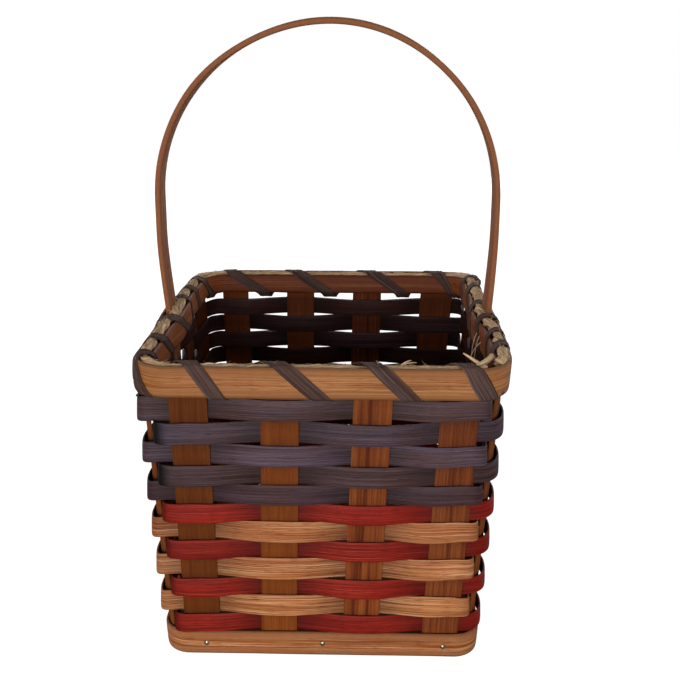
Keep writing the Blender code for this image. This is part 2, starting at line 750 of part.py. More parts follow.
def main():
    clear_scene()
    basket = bpy.data.objects.new("basket", None)
    bpy.context.scene.collection.objects.link(basket)
    cutter = tack_cutter()
    cutter.parent = basket
    drill(make_board(basket), cutter)
    for side, side_name in enumerate(SIDE_NAMES):
        for number in range(STAKES_PER_SIDE):
            stake = make_stake(side, number, f"stake_{side_name}_{number + 1}", basket)
            if number in (0, STAKES_PER_SIDE - 1):
                drill(stake, cutter)
    for row, (finish, width) in enumerate(ROWS, start=1):
        make_row(row, ROW_BOTTOMS[row], width, finish, f"row_{row:02d}_{finish}", basket)
    make_row(0, HIDDEN_ROW_BOTTOM, PURPLE_ROW_WIDTH, "purple", "row_under_rim", basket)
    drill(make_band("bottom_band", 0, BAND_HEIGHT, BAND_SEAT, BAND_THICKNESS, BAND_LAP, 0, basket), cutter)
    make_tacks(basket)
    make_band(
        "rim_outer_band", RIM_BOTTOM, RIM_OUTER_HEIGHT, RIM_BAND_SEAT, RIM_BAND_THICKNESS, RIM_LAP,
        OUTER_BULGE, basket,
    )
    make_band(
        "rim_inner_band", RIM_TOP - RIM_INNER_HEIGHT, RIM_INNER_HEIGHT, -RIM_BAND_SEAT, RIM_BAND_THICKNESS,
        RIM_LAP, INNER_BULGE, basket,
    )
    make_filler(basket)
    make_lashing(basket)
    drill(make_handle(basket), cutter)


main()
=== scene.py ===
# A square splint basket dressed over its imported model, for Blender 4.5
import math

import bpy
import numpy as np
from mathutils import Matrix, Vector


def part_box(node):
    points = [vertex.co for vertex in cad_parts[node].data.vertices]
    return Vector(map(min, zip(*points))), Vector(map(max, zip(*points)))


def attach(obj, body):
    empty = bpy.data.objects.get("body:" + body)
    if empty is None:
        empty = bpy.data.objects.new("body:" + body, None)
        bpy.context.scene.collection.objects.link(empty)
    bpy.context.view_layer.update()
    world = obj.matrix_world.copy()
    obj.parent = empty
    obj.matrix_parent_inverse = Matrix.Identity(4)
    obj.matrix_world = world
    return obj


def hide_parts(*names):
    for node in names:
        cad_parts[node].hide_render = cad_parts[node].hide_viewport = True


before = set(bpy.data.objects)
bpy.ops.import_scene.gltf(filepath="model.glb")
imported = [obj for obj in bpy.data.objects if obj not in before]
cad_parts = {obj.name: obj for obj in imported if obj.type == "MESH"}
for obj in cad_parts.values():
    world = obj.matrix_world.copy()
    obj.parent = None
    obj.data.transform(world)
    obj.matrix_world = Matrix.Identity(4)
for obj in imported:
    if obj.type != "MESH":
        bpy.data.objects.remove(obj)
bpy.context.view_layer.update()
mm = 0.001
tau = 2 * math.pi
quarterTurn = math.pi / 2
rootTwo = math.sqrt(2)
white = (1, 1, 1)
upward = np.array([0, 0, 1.0])
front, right, back, left = range(4)
sideNames = ("front", "right", "back", "left")
handleSides = (right, left)
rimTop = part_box("rim_outer_band")[1].z
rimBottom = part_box("rim_outer_band")[0].z

# the wall's middle surface, a rounded square that widens upward
wall = {
    "baseHalf": 70.6 * mm, "rimHalf": 76.8 * mm,
    "baseCorner": 9.5 * mm, "rimCorner": 13.5 * mm,
    "gap": 0.25 * mm,   # between layers
}
# how the real basket has settled: narrower toward the back, most of all on the left
settled = {
    "front": 0.008, "backLeft": 0.078, "backRight": 0.032,   # shares of the width lost
    "curve": (1.9, 2.5),       # on the left and right; above 1, more of the loss comes near the back
    "fade": 40 * mm,           # height above the rim over which the handle comes back to its own line
    "footShift": -0.5 * mm,    # of the base, to the left
    # the left rim and the right wall ahead of the handle bow to the right
    "bow": {"left": 1.1 * mm, "right": 1.3 * mm, "ahead": 76 * mm,
            "steep": 1.6, "below": 8 * mm, "over": 10 * mm},
    # the back left corner is held in along its diagonal, the back right one pushed out, mostly to the right
    "pull": {"start": 90.2 * mm, "soft": 8 * mm},
    "push": {"by": 2.4 * mm, "start": 94 * mm, "over": 9 * mm, "forward": 0.2},
    # the front left corner of the rim stands out at its lower edge
    "kick": {"by": 1.5 * mm, "start": (62 * mm, 52 * mm), "over": (12 * mm, 16 * mm), "top": 12 * mm,
             "below": 2.4 * mm, "ease": 1.6 * mm},
    "drop": {"by": 2.1 * mm, "over": 14 * mm},   # of the rim's top at the back
}


# an S curve from 0 to 1: t squared, times 3 less twice t
def smooth(t):
    t = np.clip(t, 0, 1)
    return t * t * (3 - 2 * t)


# 0 up to the start, then easing up to 1 over the stretch
def rising(value, start, stretch):
    return smooth((value - start) / stretch)


# the value that lies the share of the way from a to b
def between(a, b, share):
    return a + (b - a) * share


# each vector divided by its length
def unit(vectors):
    return vectors / np.linalg.norm(vectors, axis=-1, keepdims=True)


# distance travelled along a line of points, starting at 0
def travel(points):
    return np.concatenate([[0], np.cumsum(np.linalg.norm(np.diff(points, axis=0), axis=1))])


# each value averaged with as many neighbours as the reach says, to both sides
def averaged(values, reach):
    count = 2 * reach + 1
    return np.convolve(np.pad(values, reach, mode="edge"), np.ones(count) / count, mode="valid")


# 0 at the foot and 1 at the rim's top
def heightShare(z):
    return np.asarray(z, float) / rimTop


# half the wall's width, which grows evenly with the height
def halfAt(z):
    return between(wall["baseHalf"], wall["rimHalf"], heightShare(z))


# the radius of the wall's corner, which grows evenly with the height
def cornerAt(z):
    return between(wall["baseCorner"], wall["rimCorner"], heightShare(z))


# a quarter of the way round the wall: two straight halves of a side and one corner
def quarterAt(z):
    return 2 * (halfAt(z) - cornerAt(z)) + cornerAt(z) * quarterTurn


# a distance round the wall gives its side and the place along it, which counts from the side's middle
def sidePlace(distance, z):
    quarter = quarterAt(z)
    side = np.floor(distance / quarter + 0.5)
    return side % 4, distance - side * quarter


# straight along the side up to the corner, then round its arc, and out by the offset all the way
def onWall(side, along, offset, z):
    side, along, offset, z = np.broadcast_arrays(*(np.asarray(v, float) for v in (side, along, offset, z)))
    radius = cornerAt(z)
    straight = halfAt(z) - radius
    turn = np.clip(np.abs(along) - straight, 0, None) / radius
    reach = radius + offset
    x = np.sign(along) * (np.minimum(np.abs(along), straight) + reach * np.sin(turn))
    y = -(straight + reach * np.cos(turn))
    c, s = np.cos(side * quarterTurn), np.sin(side * quarterTurn)
    return np.stack([x * c - y * s, x * s + y * c, z], axis=-1)


# x shrinks by a share that grows as a power of the way to the back; beyond the pull's start along the back
# left diagonal, the distance d becomes soft * tanh(d / soft)
def settle(points):
    x, y, z = np.moveaxis(points, -1, 0)
    bow, pull, push, kick, drop = (settled[k] for k in ("bow", "pull", "push", "kick", "drop"))
    half = wall["rimHalf"]
    height = np.clip(z / rimTop, 0, 1)
    toRight = smooth((x / half + 1) / 2)
    toBack = np.clip((y / half + 1) / 2, 0, 1) ** between(*settled["curve"], toRight)
    keep = 1 - rising(z, rimTop, settled["fade"])
    lost = between(settled["backLeft"], settled["backRight"], toRight)
    x = x * (1 - keep * between(settled["front"], lost, toBack))
    bowed = np.sin(math.pi * np.clip(1 + y / bow["ahead"], 0, 1)) * keep * height
    atWall = np.clip(1 - bow["steep"] * (1 - np.abs(x) / half), 0, 1)
    leftBow = bow["left"] * rising(z, rimBottom - bow["below"], bow["over"])
    x = x + bowed * atWall * np.where(x < 0, leftBow, bow["right"])
    x = x + settled["footShift"] * (1 - height)
    past = np.clip((y - x) / rootTwo - pull["start"], 0, None)
    inward = keep * (past - pull["soft"] * np.tanh(past / pull["soft"])) / rootTwo
    outward = push["by"] * keep * rising((x + y) / rootTwo, push["start"], push["over"])
    atCorner = rising(-x, kick["start"][0], kick["over"][0]) * rising(-y, kick["start"][1], kick["over"][1])
    low = rising(rimTop - z, 0, kick["top"]) * rising(z, rimBottom - kick["below"], kick["ease"])
    x = x - kick["by"] * atCorner * low
    z = z - drop["by"] * toBack ** 2 * rising(z, rimTop - drop["over"], drop["over"]) * keep
    return np.stack([x + inward + outward, y - inward - push["forward"] * outward, z], axis=-1)


# a slow wave made of a few sines whose starts the seed picks, for the small unevenness of split wood
def wander(s, seed, period, size):
    rng = np.random.default_rng(seed)
    shares = (1, 0.47, 0.23)
    waves = [share * np.sin(tau * (s / (period * share) + rng.random())) for share in shares]
    return size * sum(waves) / sum(shares)


# a smooth mesh with its grain map and its tint, one colour a point, and its faces turned outward
def makeMesh(name, points, faces, loopUv, tints):
    mesh = bpy.data.meshes.new(name)
    points = points.reshape(-1, 3)
    mesh.from_pydata(points.tolist(), [], faces)
    mesh.uv_layers.new(name="grain").data.foreach_set("uv", loopUv.astype(np.float32).ravel())
    colour = np.ones((len(points), 4), np.float32)
    colour[:, :3] = tints.reshape(-1, 3)
    layer = mesh.color_attributes.new(name="tint", type="FLOAT_COLOR", domain="POINT")
    layer.data.foreach_set("color", colour.ravel())
    mesh.calc_loop_triangles()
    corners = np.zeros(len(mesh.loop_triangles) * 3, np.int64)
    mesh.loop_triangles.foreach_get("vertices", corners)
    a, b, c = points[corners.reshape(-1, 3)].transpose(1, 0, 2)
    if np.einsum("ij,ij", a, np.cross(b, c)) < 0:
        mesh.flip_normals()
    mesh.shade_smooth()
    return mesh


# a grid of points: stations along, a closed ring across, and both ends shut by a fan; the grain map holds a
# value for each station, and one for each point of the ring with the first point again at its end
def loftMesh(name, grid, grain, tint=white, sharpFrom=50):
    count, size = grid.shape[:2]
    grid = settle(grid)
    along, across = grain
    i, j = np.meshgrid(np.arange(count - 1), np.arange(size), indexing="ij")
    atStation = np.stack([i, i, i + 1, i + 1], axis=-1).reshape(-1, 4)
    atRing = np.stack([j, j + 1, j + 1, j], axis=-1).reshape(-1, 4)
    faces = (atStation * size + atRing % size).tolist()
    loopUv = [np.stack([along[atStation], across[atRing]], axis=-1).reshape(-1, 2)]
    j = np.arange(size)
    centre = np.full(size, (across[0] + across[-1]) / 2)
    for end, station, one, other in ((0, 0, j + 1, j), (1, count - 1, j, j + 1)):
        hub = np.full(size, count * size + end)
        faces += np.stack([hub, station * size + one % size, station * size + other % size], 1).tolist()
        fan = np.stack([centre, across[one], across[other]], 1)
        loopUv.append(np.stack([np.full_like(fan, along[station]), fan], axis=-1).reshape(-1, 2))
    tints = np.broadcast_to(np.asarray(tint, float), (count, size, 3))
    points, tints = (np.concatenate([v.reshape(-1, 3), v[[0, -1]].mean(1)]) for v in (grid, tints))
    mesh = makeMesh(name, points, faces, np.concatenate(loopUv), tints)
    mesh.set_sharp_from_angle(angle=math.radians(sharpFrom))
    return mesh


# puts the mesh into the scene in its material, with its body, and hides the nodes that it stands for
def addPiece(name, mesh, material, slot, *replaced):
    piece = bpy.data.objects.new(name, mesh)
    bpy.context.scene.collection.objects.link(piece)
    mesh.materials.append(materials[material])
    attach(piece, "root")
    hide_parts(*replaced)
    return piece


# a flat oval section: out and up from its middle, with a squareness from 0, a diamond, to 1, a box
def flatOval(thick, width, points, squareness):
    angle = tau * (np.arange(points + 1) + 0.5) / points
    out, up = (half * np.sign(v) * np.abs(v) ** (1 - squareness)
               for half, v in ((thick / 2, np.cos(angle)), (width / 2, np.sin(angle))))
    return out[:-1], up[:-1], travel(np.stack([out, up], 1))


# a shader node with its links made, and its values set by the name of a socket or a property
def node(tree, kind, links=(), **values):
    made = tree.nodes.new(kind)
    for key, value in values.items():
        if key in made.inputs:
            made.inputs[key].default_value = value
        else:
            setattr(made, key, value)
    for source, socket in links:
        tree.links.new(source, made.inputs[socket])
    return made


# a material with its node tree and its one shader
def blankMaterial(name, roughness, specular, metallic=0.0):
    made = bpy.data.materials.new(name)
    made.use_nodes = True
    shader = made.node_tree.nodes["Principled BSDF"]
    shader.inputs["Roughness"].default_value = roughness
    shader.inputs["Specular IOR Level"].default_value = specular
    shader.inputs["Metallic"].default_value = metallic
    return made, made.node_tree, shader


# stops of a ramp, each a position and a display colour from 0 to 255, turned to the shader's linear values
def tones(stops):
    made = []
    for position, *display in stops:
        c = np.array(display) / 255
        linear = np.where(c <= 0.04045, c / 12.92, ((c + 0.055) / 1.055) ** 2.4)
        made.append((position, tuple(linear.tolist())))
    return made


# a colour ramp over the factor
def ramp(tree, factor, stops):
    made = node(tree, "ShaderNodeValToRGB", [(factor, "Fac")])
    elements = made.color_ramp.elements
    for k in (0, -1):
        elements[k].position = stops[k][0]
        elements[k].color = (*stops[k][1], 1)
    for position, colour in stops[1:-1]:
        elements.new(position).color = (*colour, 1)
    return made.outputs[0]


# noise read along and across the piece, in repeats a metre
def noise(tree, vector, along, across, detail=2.0, roughness=0.5):
    placed = node(tree, "ShaderNodeMapping", [(vector, "Vector")], Scale=(along, across, 1)).outputs[0]
    fine = {"Scale": 1.0, "Detail": detail, "Roughness": roughness}
    return node(tree, "ShaderNodeTexNoise", [(placed, "Vector")], **fine).outputs[0]


# two colours multiplied, by the share that counts
def multiply(tree, a, b, share=1.0):
    made = node(tree, "ShaderNodeMix", data_type="RGBA", blend_type="MULTIPLY")
    made.inputs["Factor"].default_value = share
    tree.links.new(a, made.inputs[6])
    tree.links.new(b, made.inputs[7])
    return made.outputs[2]


# a value with a fixed amount added, taken off or multiplied
def shift(tree, operation, value, amount):
    made = node(tree, "ShaderNodeMath", [(value, 0)], operation=operation)
    made.inputs[1].default_value = amount
    return made.outputs[0]


# the piece's own tint over the colour, and relief that follows the height
def dress(tree, shader, colour, height, strength, deep):
    tint = node(tree, "ShaderNodeAttribute", attribute_name="tint").outputs["Color"]
    tree.links.new(multiply(tree, colour, tint), shader.inputs["Base Color"])
    bump = node(tree, "ShaderNodeBump", [(height, "Height")], Strength=strength, Distance=deep)
    tree.links.new(bump.outputs[0], shader.inputs["Normal"])


# repeats a metre, along and across; then detail and roughness of the noise
fibre = {
    "sway": (45, 160),
    "finest": (4.0, 0.62),
    "streaksAlong": 7,
    "pores": (160, 3300, 1.0),
    "speckle": (2300, 2300),
    "patches": (24, 52.8),
    "poreFrom": 0.3, "poreTo": 0.42,
    "speckleTones": ((0.3, (0.6, 0.6, 0.6)), (0.62, white)),
    "bumpDeep": 0.18 * mm,
}


# split wood: wavy lines of light and dark fibre drawn out along the piece, over broad streaks and slow
# patches of stain, with short dark pores and a fine speckle
def reedMaterial(name, look):
    made, tree, shader = blankMaterial(name, look["roughness"], look["specular"])
    uv = node(tree, "ShaderNodeUVMap", uv_map="grain").outputs[0]
    sway = shift(tree, "SUBTRACT", noise(tree, uv, *fibre["sway"]), 0.5)
    sway = shift(tree, "MULTIPLY", sway, look["sway"])
    aside = node(tree, "ShaderNodeCombineXYZ", [(sway, "Y")]).outputs[0]
    grain = node(tree, "ShaderNodeVectorMath", [(uv, 0), (aside, 1)], operation="ADD").outputs[0]
    lines = noise(tree, grain, look["linesAlong"], look["linesAcross"], *fibre["finest"])
    streaks = noise(tree, grain, fibre["streaksAlong"], look["streaksAcross"])
    patches = noise(tree, uv, *fibre["patches"])
    poreTones = ((fibre["poreFrom"], look["poreTone"]), (fibre["poreTo"], white))
    colour = ramp(tree, lines, tones(look["lineTones"]))
    colour = multiply(tree, colour, ramp(tree, streaks, look["streakTones"]))
    colour = multiply(tree, colour, ramp(tree, patches, look["patchTones"]))
    colour = multiply(tree, colour, ramp(tree, noise(tree, grain, *fibre["pores"]), poreTones))
    speckle = ramp(tree, noise(tree, uv, *fibre["speckle"]), fibre["speckleTones"])
    colour = multiply(tree, colour, speckle, look["speckle"])
    height = node(tree, "ShaderNodeMath", [(lines, 0), (streaks, 1)], operation="ADD").outputs[0]
    dress(tree, shader, colour, height, look["bump"], fibre["bumpDeep"])
    return made


# what all the reeds share, before each changes some of it
plainReed = {
    "roughness": 0.5, "specular": 0.25,
    "linesAlong": 26, "linesAcross": 1500, "streaksAcross": 420,
    "sway": 0.9 * mm,
    "streakTones": ((0.3, (0.66, 0.52, 0.42)), (0.56, white)),
    "patchTones": ((0.3, (0.86, 0.8, 0.74)), (0.65, white)),
    "poreTone": (0.5, 0.38, 0.3),
    "speckle": 0.55, "bump": 0.6,
}
# lineTones hold display colours from 0 to 255, and the other tones are shares that multiply them
looks = {
    "natural": {
        "lineTones": ((0.34, 132, 56, 22), (0.45, 192, 110, 56), (0.55, 222, 150, 94), (0.67, 252, 210, 164)),
        "linesAlong": 15, "linesAcross": 2300, "sway": 0.4 * mm,
    },
    "band": {
        "lineTones": ((0.3, 120, 60, 26), (0.45, 182, 110, 58), (0.58, 206, 142, 86), (0.74, 232, 182, 128)),
        "streakTones": ((0.3, (0.72, 0.6, 0.5)), (0.6, white)),
        "linesAlong": 12, "linesAcross": 1250, "streaksAcross": 300,
    },
    "bottom": {
        "lineTones": ((0.3, 104, 44, 18), (0.46, 184, 104, 56), (0.56, 216, 146, 92), (0.68, 250, 208, 160)),
        "streakTones": ((0.3, (0.56, 0.42, 0.32)), (0.52, white)),
        "linesAlong": 15, "linesAcross": 1700, "streaksAcross": 420,
    },
    "stake": {
        "lineTones": ((0.3, 142, 80, 38), (0.5, 160, 94, 46), (0.7, 172, 106, 54)),
        "streakTones": ((0.3, (0.86, 0.8, 0.74)), (0.55, white)),
        "linesAlong": 30, "linesAcross": 900, "streaksAcross": 240, "poreTone": (0.85, 0.8, 0.76),
        "speckle": 1.0, "bump": 0.12, "roughness": 0.7, "specular": 0.15,
    },
    "streaky": {
        "lineTones": ((0.3, 116, 58, 28), (0.5, 162, 94, 50), (0.7, 184, 116, 66)),
        "streakTones": ((0.34, (0.5, 0.34, 0.3)), (0.5, white)),
        "linesAlong": 14, "linesAcross": 1000, "streaksAcross": 330, "poreTone": (0.75, 0.66, 0.6),
        "speckle": 1.0, "bump": 0.15, "roughness": 0.65, "specular": 0.15,
    },
    "purple": {
        "lineTones": ((0.28, 60, 41, 42), (0.5, 94, 73, 78), (0.72, 130, 110, 124)),
        "streakTones": ((0.3, (0.68, 0.6, 0.6)), (0.6, white)),
        "patchTones": ((0.32, (0.98, 0.8, 0.72)), (0.5, (0.95, 0.9, 0.92)), (0.66, (0.92, 0.97, 1.1))),
        "linesAlong": 20, "linesAcross": 2500, "sway": 0.45 * mm, "poreTone": (0.55, 0.45, 0.45),
        "speckle": 0.9, "bump": 0.45, "specular": 0.15,
    },
    "red": {
        "lineTones": ((0.3, 112, 16, 8), (0.48, 160, 32, 20), (0.6, 182, 46, 32), (0.72, 216, 100, 76)),
        "streakTones": ((0.3, (0.78, 0.64, 0.62)), (0.56, white)),
        "patchTones": ((0.3, (0.8, 0.62, 0.6)), (0.65, white)),
        "linesAlong": 20, "linesAcross": 2500, "sway": 0.45 * mm, "poreTone": (0.45, 0.3, 0.3),
        "speckle": 0.8, "specular": 0.15,
    },
    "lash": {
        "lineTones": ((0.3, 52, 37, 35), (0.5, 92, 71, 67), (0.7, 124, 103, 98)),
        "linesAlong": 12, "linesAcross": 1700, "sway": 0.25 * mm, "poreTone": (0.6, 0.5, 0.5),
        "bump": 0.7, "roughness": 0.75, "specular": 0.12,
    },
    "handle": {
        "lineTones": ((0.3, 120, 72, 45), (0.5, 158, 103, 71), (0.7, 186, 131, 95)),
        "linesAlong": 9, "linesAcross": 700, "sway": 0.7 * mm,
        "speckle": 0.0, "bump": 0.0, "roughness": 0.75, "specular": 0.06,
    },
    "board": {
        "lineTones": ((0.3, 96, 62, 38), (0.5, 124, 84, 54), (0.7, 146, 104, 70)),
        "linesAlong": 10, "linesAcross": 420, "streaksAcross": 90,
    },
}
materials = {name: reedMaterial(name + "Reed", plainReed | look) for name, look in looks.items()}
grassLook = {
    "roughness": 0.85, "specular": 0.25,
    "strands": (110, 2200, 3.0), "patches": (160, 300),
    "strandTones": ((0.3, 150, 112, 80), (0.5, 222, 188, 148), (0.72, 250, 230, 198)),
    "patchTones": ((0.3, (0.7, 0.62, 0.55)), (0.7, white)), "patchShare": 0.9,
    "bump": 0.8, "bumpDeep": 0.25 * mm,
}
tackLook = {
    "roughness": 0.38, "specular": 0.25, "metallic": 1.0,
    "blotches": {"Scale": 1600.0, "Detail": 3.0},
    "tones": ((0.35, 120, 104, 78), (0.65, 206, 198, 176)),
    "bump": 0.3, "bumpDeep": 0.05 * mm,
}


# dull grass: strands that run along the twist, with darker seams between them
def grassMaterial(look):
    made, tree, shader = blankMaterial("twistedGrass", look["roughness"], look["specular"])
    uv = node(tree, "ShaderNodeUVMap", uv_map="grain").outputs[0]
    strands = noise(tree, uv, *look["strands"])
    patches = ramp(tree, noise(tree, uv, *look["patches"]), look["patchTones"])
    colour = multiply(tree, ramp(tree, strands, tones(look["strandTones"])), patches, look["patchShare"])
    dress(tree, shader, colour, strands, look["bump"], look["bumpDeep"])
    return made


# dulled steel, blotched by handling
def tackMaterial(look):
    made, tree, shader = blankMaterial("tackSteel", look["roughness"], look["specular"], look["metallic"])
    place = node(tree, "ShaderNodeTexCoord").outputs["Object"]
    blotch = node(tree, "ShaderNodeTexNoise", [(place, "Vector")], **look["blotches"]).outputs[0]
    dress(tree, shader, ramp(tree, blotch, tones(look["tones"])), blotch, look["bump"], look["bumpDeep"])
    return made


materials |= {"grass": grassMaterial(grassLook), "tack": tackMaterial(tackLook)}
print("materials made:", len(materials))

# uprights: the middle of each along its side in mm, at the foot and at the rim, in the order of travel
stakes = {
    "width": 16.4 * mm, "thick": 1.2 * mm,
    "points": 20, "squareness": 0.72, "stations": 40,
    "lift": 0.5 * mm, "topDrop": 2.4 * mm,
    "frontFoot": (-54.4, -19.5, 17.8, 54.2), "frontRim": (-56.3, -16.8, 22.8, 59.6),
    "backFoot": (-53.6, -18.4, 18.4, 53.6), "backRim": (-60.0, -20.8, 18.6, 59.0),
    "rightFoot": (-58.5, -26.6, 26.6, 55.0), "rightRim": (-61.5, -28.7, 28.7, 59.0),
    "leftFoot": (-55.0, -26.6, 26.6, 60.0), "leftRim": (-59.0, -28.7, 28.7, 62.5),
    # the ones beside a corner are turned to it: degrees, and how far out at the foot and at the rim in mm
    "turned": {
        (right, 0): (8, -0.1, 0.9), (right, 3): (-7, 0, 0),
        (left, 0): (7, 0, 0), (left, 3): (-11, 1.2, 2.0),
    },
    # they come free above the bottom band and are held again by the rim: height and stretch of each
    "free": (11 * mm, 8 * mm), "held": (122 * mm, 7 * mm),
    "wider": {(right, 0): 0.13},
    "pressed": 0.9,          # share of the thickness left between the rows
    "uneven": (60 * mm, 0.012),
    "firstIndex": (0, 4, 9, 13),   # each side's first upright, counted all round with the handle's tails
    "tints": {
        (front, 0): (0.5, 0.37, 0.12), (front, 1): (0.73, 0.55, 0.28),
        (front, 2): (0.8, 0.61, 0.39), (front, 3): (0.68, 0.52, 0.42),
        (right, 0): (0.76, 0.66, 0.42), (left, 3): (0.74, 0.64, 0.4),
    },
    "otherTints": ((0.74, 0.54, 0.3), (0.68, 0.46, 0.28), (0.8, 0.6, 0.38)),
    "insideTint": (0.98, 0.9, 0.95),
    "streaky": ((front, 2), (front, 3), (back, 1), (right, 1), (left, 2)),
    # painted shadow where the rows cover an upright: the share darker next to them
    "windowShadowShare": 0.45,
    "paintedShadeUpDown": (1.2, 0.8),    # painted shade: lighter at the foot, darker under the rim, where the rim's shadow falls
    "grainApart": 0.31,
}


# the middles of a side's uprights, for one height or for a line of heights
def stakeMiddles(side, z):
    foot, rim = (np.array(stakes[sideNames[side] + end]) * mm for end in ("Foot", "Rim"))
    return between(foot, rim, np.asarray(heightShare(z))[..., None])


# side, place along it, half width and half thickness of every upright at a height; the handle's tails count
# as uprights
def uprightsAt(z):
    found = []
    for side in range(4):
        at = [(side, middle, stakes["width"] / 2, stakes["thick"] / 2) for middle in stakeMiddles(side, z)]
        if side in handleSides:
            thick = handle["thick"] if z > rimBottom else stakes["thick"]
            at.insert(2, (side, 0, handle["width"] / 2, thick / 2))
        found += at
    return np.array(found).T


# painted shade on an upright: brightest in the middle of each window between two rows that cover the reed,
# darker toward them, where their shadow falls
def windowPaintedShade(z, index, side):
    heights = np.array(rows["backHeights"] if side == back else rows["frontHeights"])[::-1] * mm
    rowAt = np.interp(z, heights, np.arange(len(heights), 0, -1))
    wave = np.cos(math.pi * (rowAt + index + 1))
    return np.where(z < rimBottom, 1 - stakes["windowShadowShare"] * (0.5 - 0.5 * wave), 1)


# a reed stood on end: the flat oval carried up a line that leans with the wall
def makeStake(side, number, seed):
    z = np.linspace(stakes["lift"], rimTop - stakes["topDrop"], stakes["stations"])
    out, across, ring = flatOval(stakes["thick"], stakes["width"], stakes["points"], stakes["squareness"])
    width = 1 + wander(z, seed, *stakes["uneven"]) + stakes["wider"].get((side, number), 0)
    turn, footOut, rimOut = stakes["turned"].get((side, number), (0, 0, 0))
    free = rising(z, *stakes["free"]) * (1 - rising(z, *stakes["held"]))
    outward = between(footOut, rimOut, heightShare(z)) * mm
    turned = math.tan(math.radians(turn)) * across[None]
    offset = stakes["pressed"] * out[None] + free[:, None] * (outward[:, None] + turned)
    middle = stakeMiddles(side, z)[:, number]
    grid = onWall(side, middle[:, None] + width[:, None] * across[None], offset, z[:, None])
    index = stakes["firstIndex"][side] + number + (side in handleSides and number > 1)
    # painted shade: darker toward the rows that cover the upright, and darker under the rim than at the foot
    shade = windowPaintedShade(z, index, side) * between(*stakes["paintedShadeUpDown"], heightShare(z))
    inner = smooth(0.5 - out / stakes["thick"])[None, :, None]
    tint = np.array(stakes["tints"].get((side, number), stakes["otherTints"][seed % 3]))
    tint = tint * shade[:, None, None] * between(1, np.array(stakes["insideTint"]), inner)
    name = f"stake_{sideNames[side]}_{number + 1}"
    mesh = loftMesh(name + "Reed", grid, (z + seed * stakes["grainApart"], ring), tint)
    wood = "streaky" if (side, number) in stakes["streaky"] else "stake"
    return addPiece(name + "Reed", mesh, wood, "stake_reed", name)


handle = {
    "width": 15.5 * mm, "thick": 2.8 * mm,
    "points": 24, "squareness": 0.62, "legSteps": 12, "hoopSteps": 45,
    "radius": 78.6 * mm,     # of the hoop's middle line
    "rise": 54.8 * mm,       # from the rim to where the hoop's half circle starts
    "tailHeights": (40 * mm, 80 * mm), "tailDrop": 1.2 * mm, "taper": 4 * mm,
    "legsOut": 0.5 * mm,     # both legs stand a little wider than the squeezed walls
    "legsFrom": 10 * mm, "legsOver": 60 * mm,
    # how far the hoop strays outward, in mm, at angles from its right end; past 180 is the left leg
    "strayAt": (-60, -30, 0, 12, 36, 48, 60, 72, 84, 96, 108,
                120, 132, 144, 156, 168, 180, 190, 197, 205, 215),
    "stray": (0.3, 0.3, -0.15, -0.3, -0.1, -0.15, 0.1, 0.3, 0.2, -0.2, -0.8,
              -1.05, -0.95, -1.0, -1.1, -1.0, -0.9, -0.8, -0.6, 0.3, 0.5),
    "strayOver": 8 * mm, "straySoft": 3,
    "twist": 3.0, "twistAt": 140, "twistWide": 14,   # degrees
    "unevenWidth": (180 * mm, 0.012), "unevenThick": (90 * mm, 0.02),
}


# the flat bar carried up a wall, out to the hoop's width and round its half circle, then down in mirror image
def makeHandle():
    thick, radius, rise = handle["thick"], handle["radius"], handle["rise"]
    tailHeights = (stakes["lift"], *handle["tailHeights"], rimBottom - handle["tailDrop"])
    tail = [(halfAt(z), z, stakes["thick"]) for z in tailHeights]
    tail += [(halfAt(z), z, thick) for z in (rimBottom + handle["taper"], rimTop)]
    leg = [(between(wall["rimHalf"], radius, math.sin(share * quarterTurn)), rimTop + rise * share, thick)
           for share in np.linspace(0, 1, handle["legSteps"] + 2)[1:-1]]
    hoop = [(radius * math.cos(angle), rimTop + rise + radius * math.sin(angle), thick)
            for angle in np.linspace(0, quarterTurn, handle["hoopSteps"])]
    line = np.array(tail + leg + hoop)
    line = np.concatenate([line, line[-2::-1] * (-1, 1, 1)])
    x, z, thick = line.T
    run = unit(np.gradient(line[:, :2], axis=0))
    outX, outZ = run[:, 1], -run[:, 0]
    travelled = travel(line[:, :2])
    out, across, ring = flatOval(1, handle["width"], handle["points"], handle["squareness"])
    wide = 1 + wander(travelled, 5, *handle["unevenWidth"])
    deep = thick[:, None] * out[None] * (1 + wander(travelled, 6, *handle["unevenThick"]))[:, None]
    turn = (np.degrees(np.arctan2(z - rimTop - rise, x)) + 90) % 360 - 90
    stray = np.interp(turn, handle["strayAt"], handle["stray"]) * mm
    stray = averaged(stray * rising(z, rimBottom, handle["strayOver"]), handle["straySoft"])
    legs = rising(z, rimBottom, handle["legsFrom"]) * (1 - rising(z, rimTop, handle["legsOver"]))
    x = x + outX * stray + np.sign(x) * handle["legsOut"] * legs
    z = z + outZ * stray
    twist = math.radians(handle["twist"]) * np.exp(-((turn - handle["twistAt"]) / handle["twistWide"]) ** 2)
    deep = deep - twist[:, None] * across[None]
    x, z = (place[:, None] + away[:, None] * deep for place, away in ((x, outX), (z, outZ)))
    grid = np.stack([x, wide[:, None] * across[None], z], axis=-1)
    mesh = loftMesh("handleHoop", grid, (travelled, ring))
    return addPiece("handleHoop", mesh, "handle", "handle_wood", "handle")


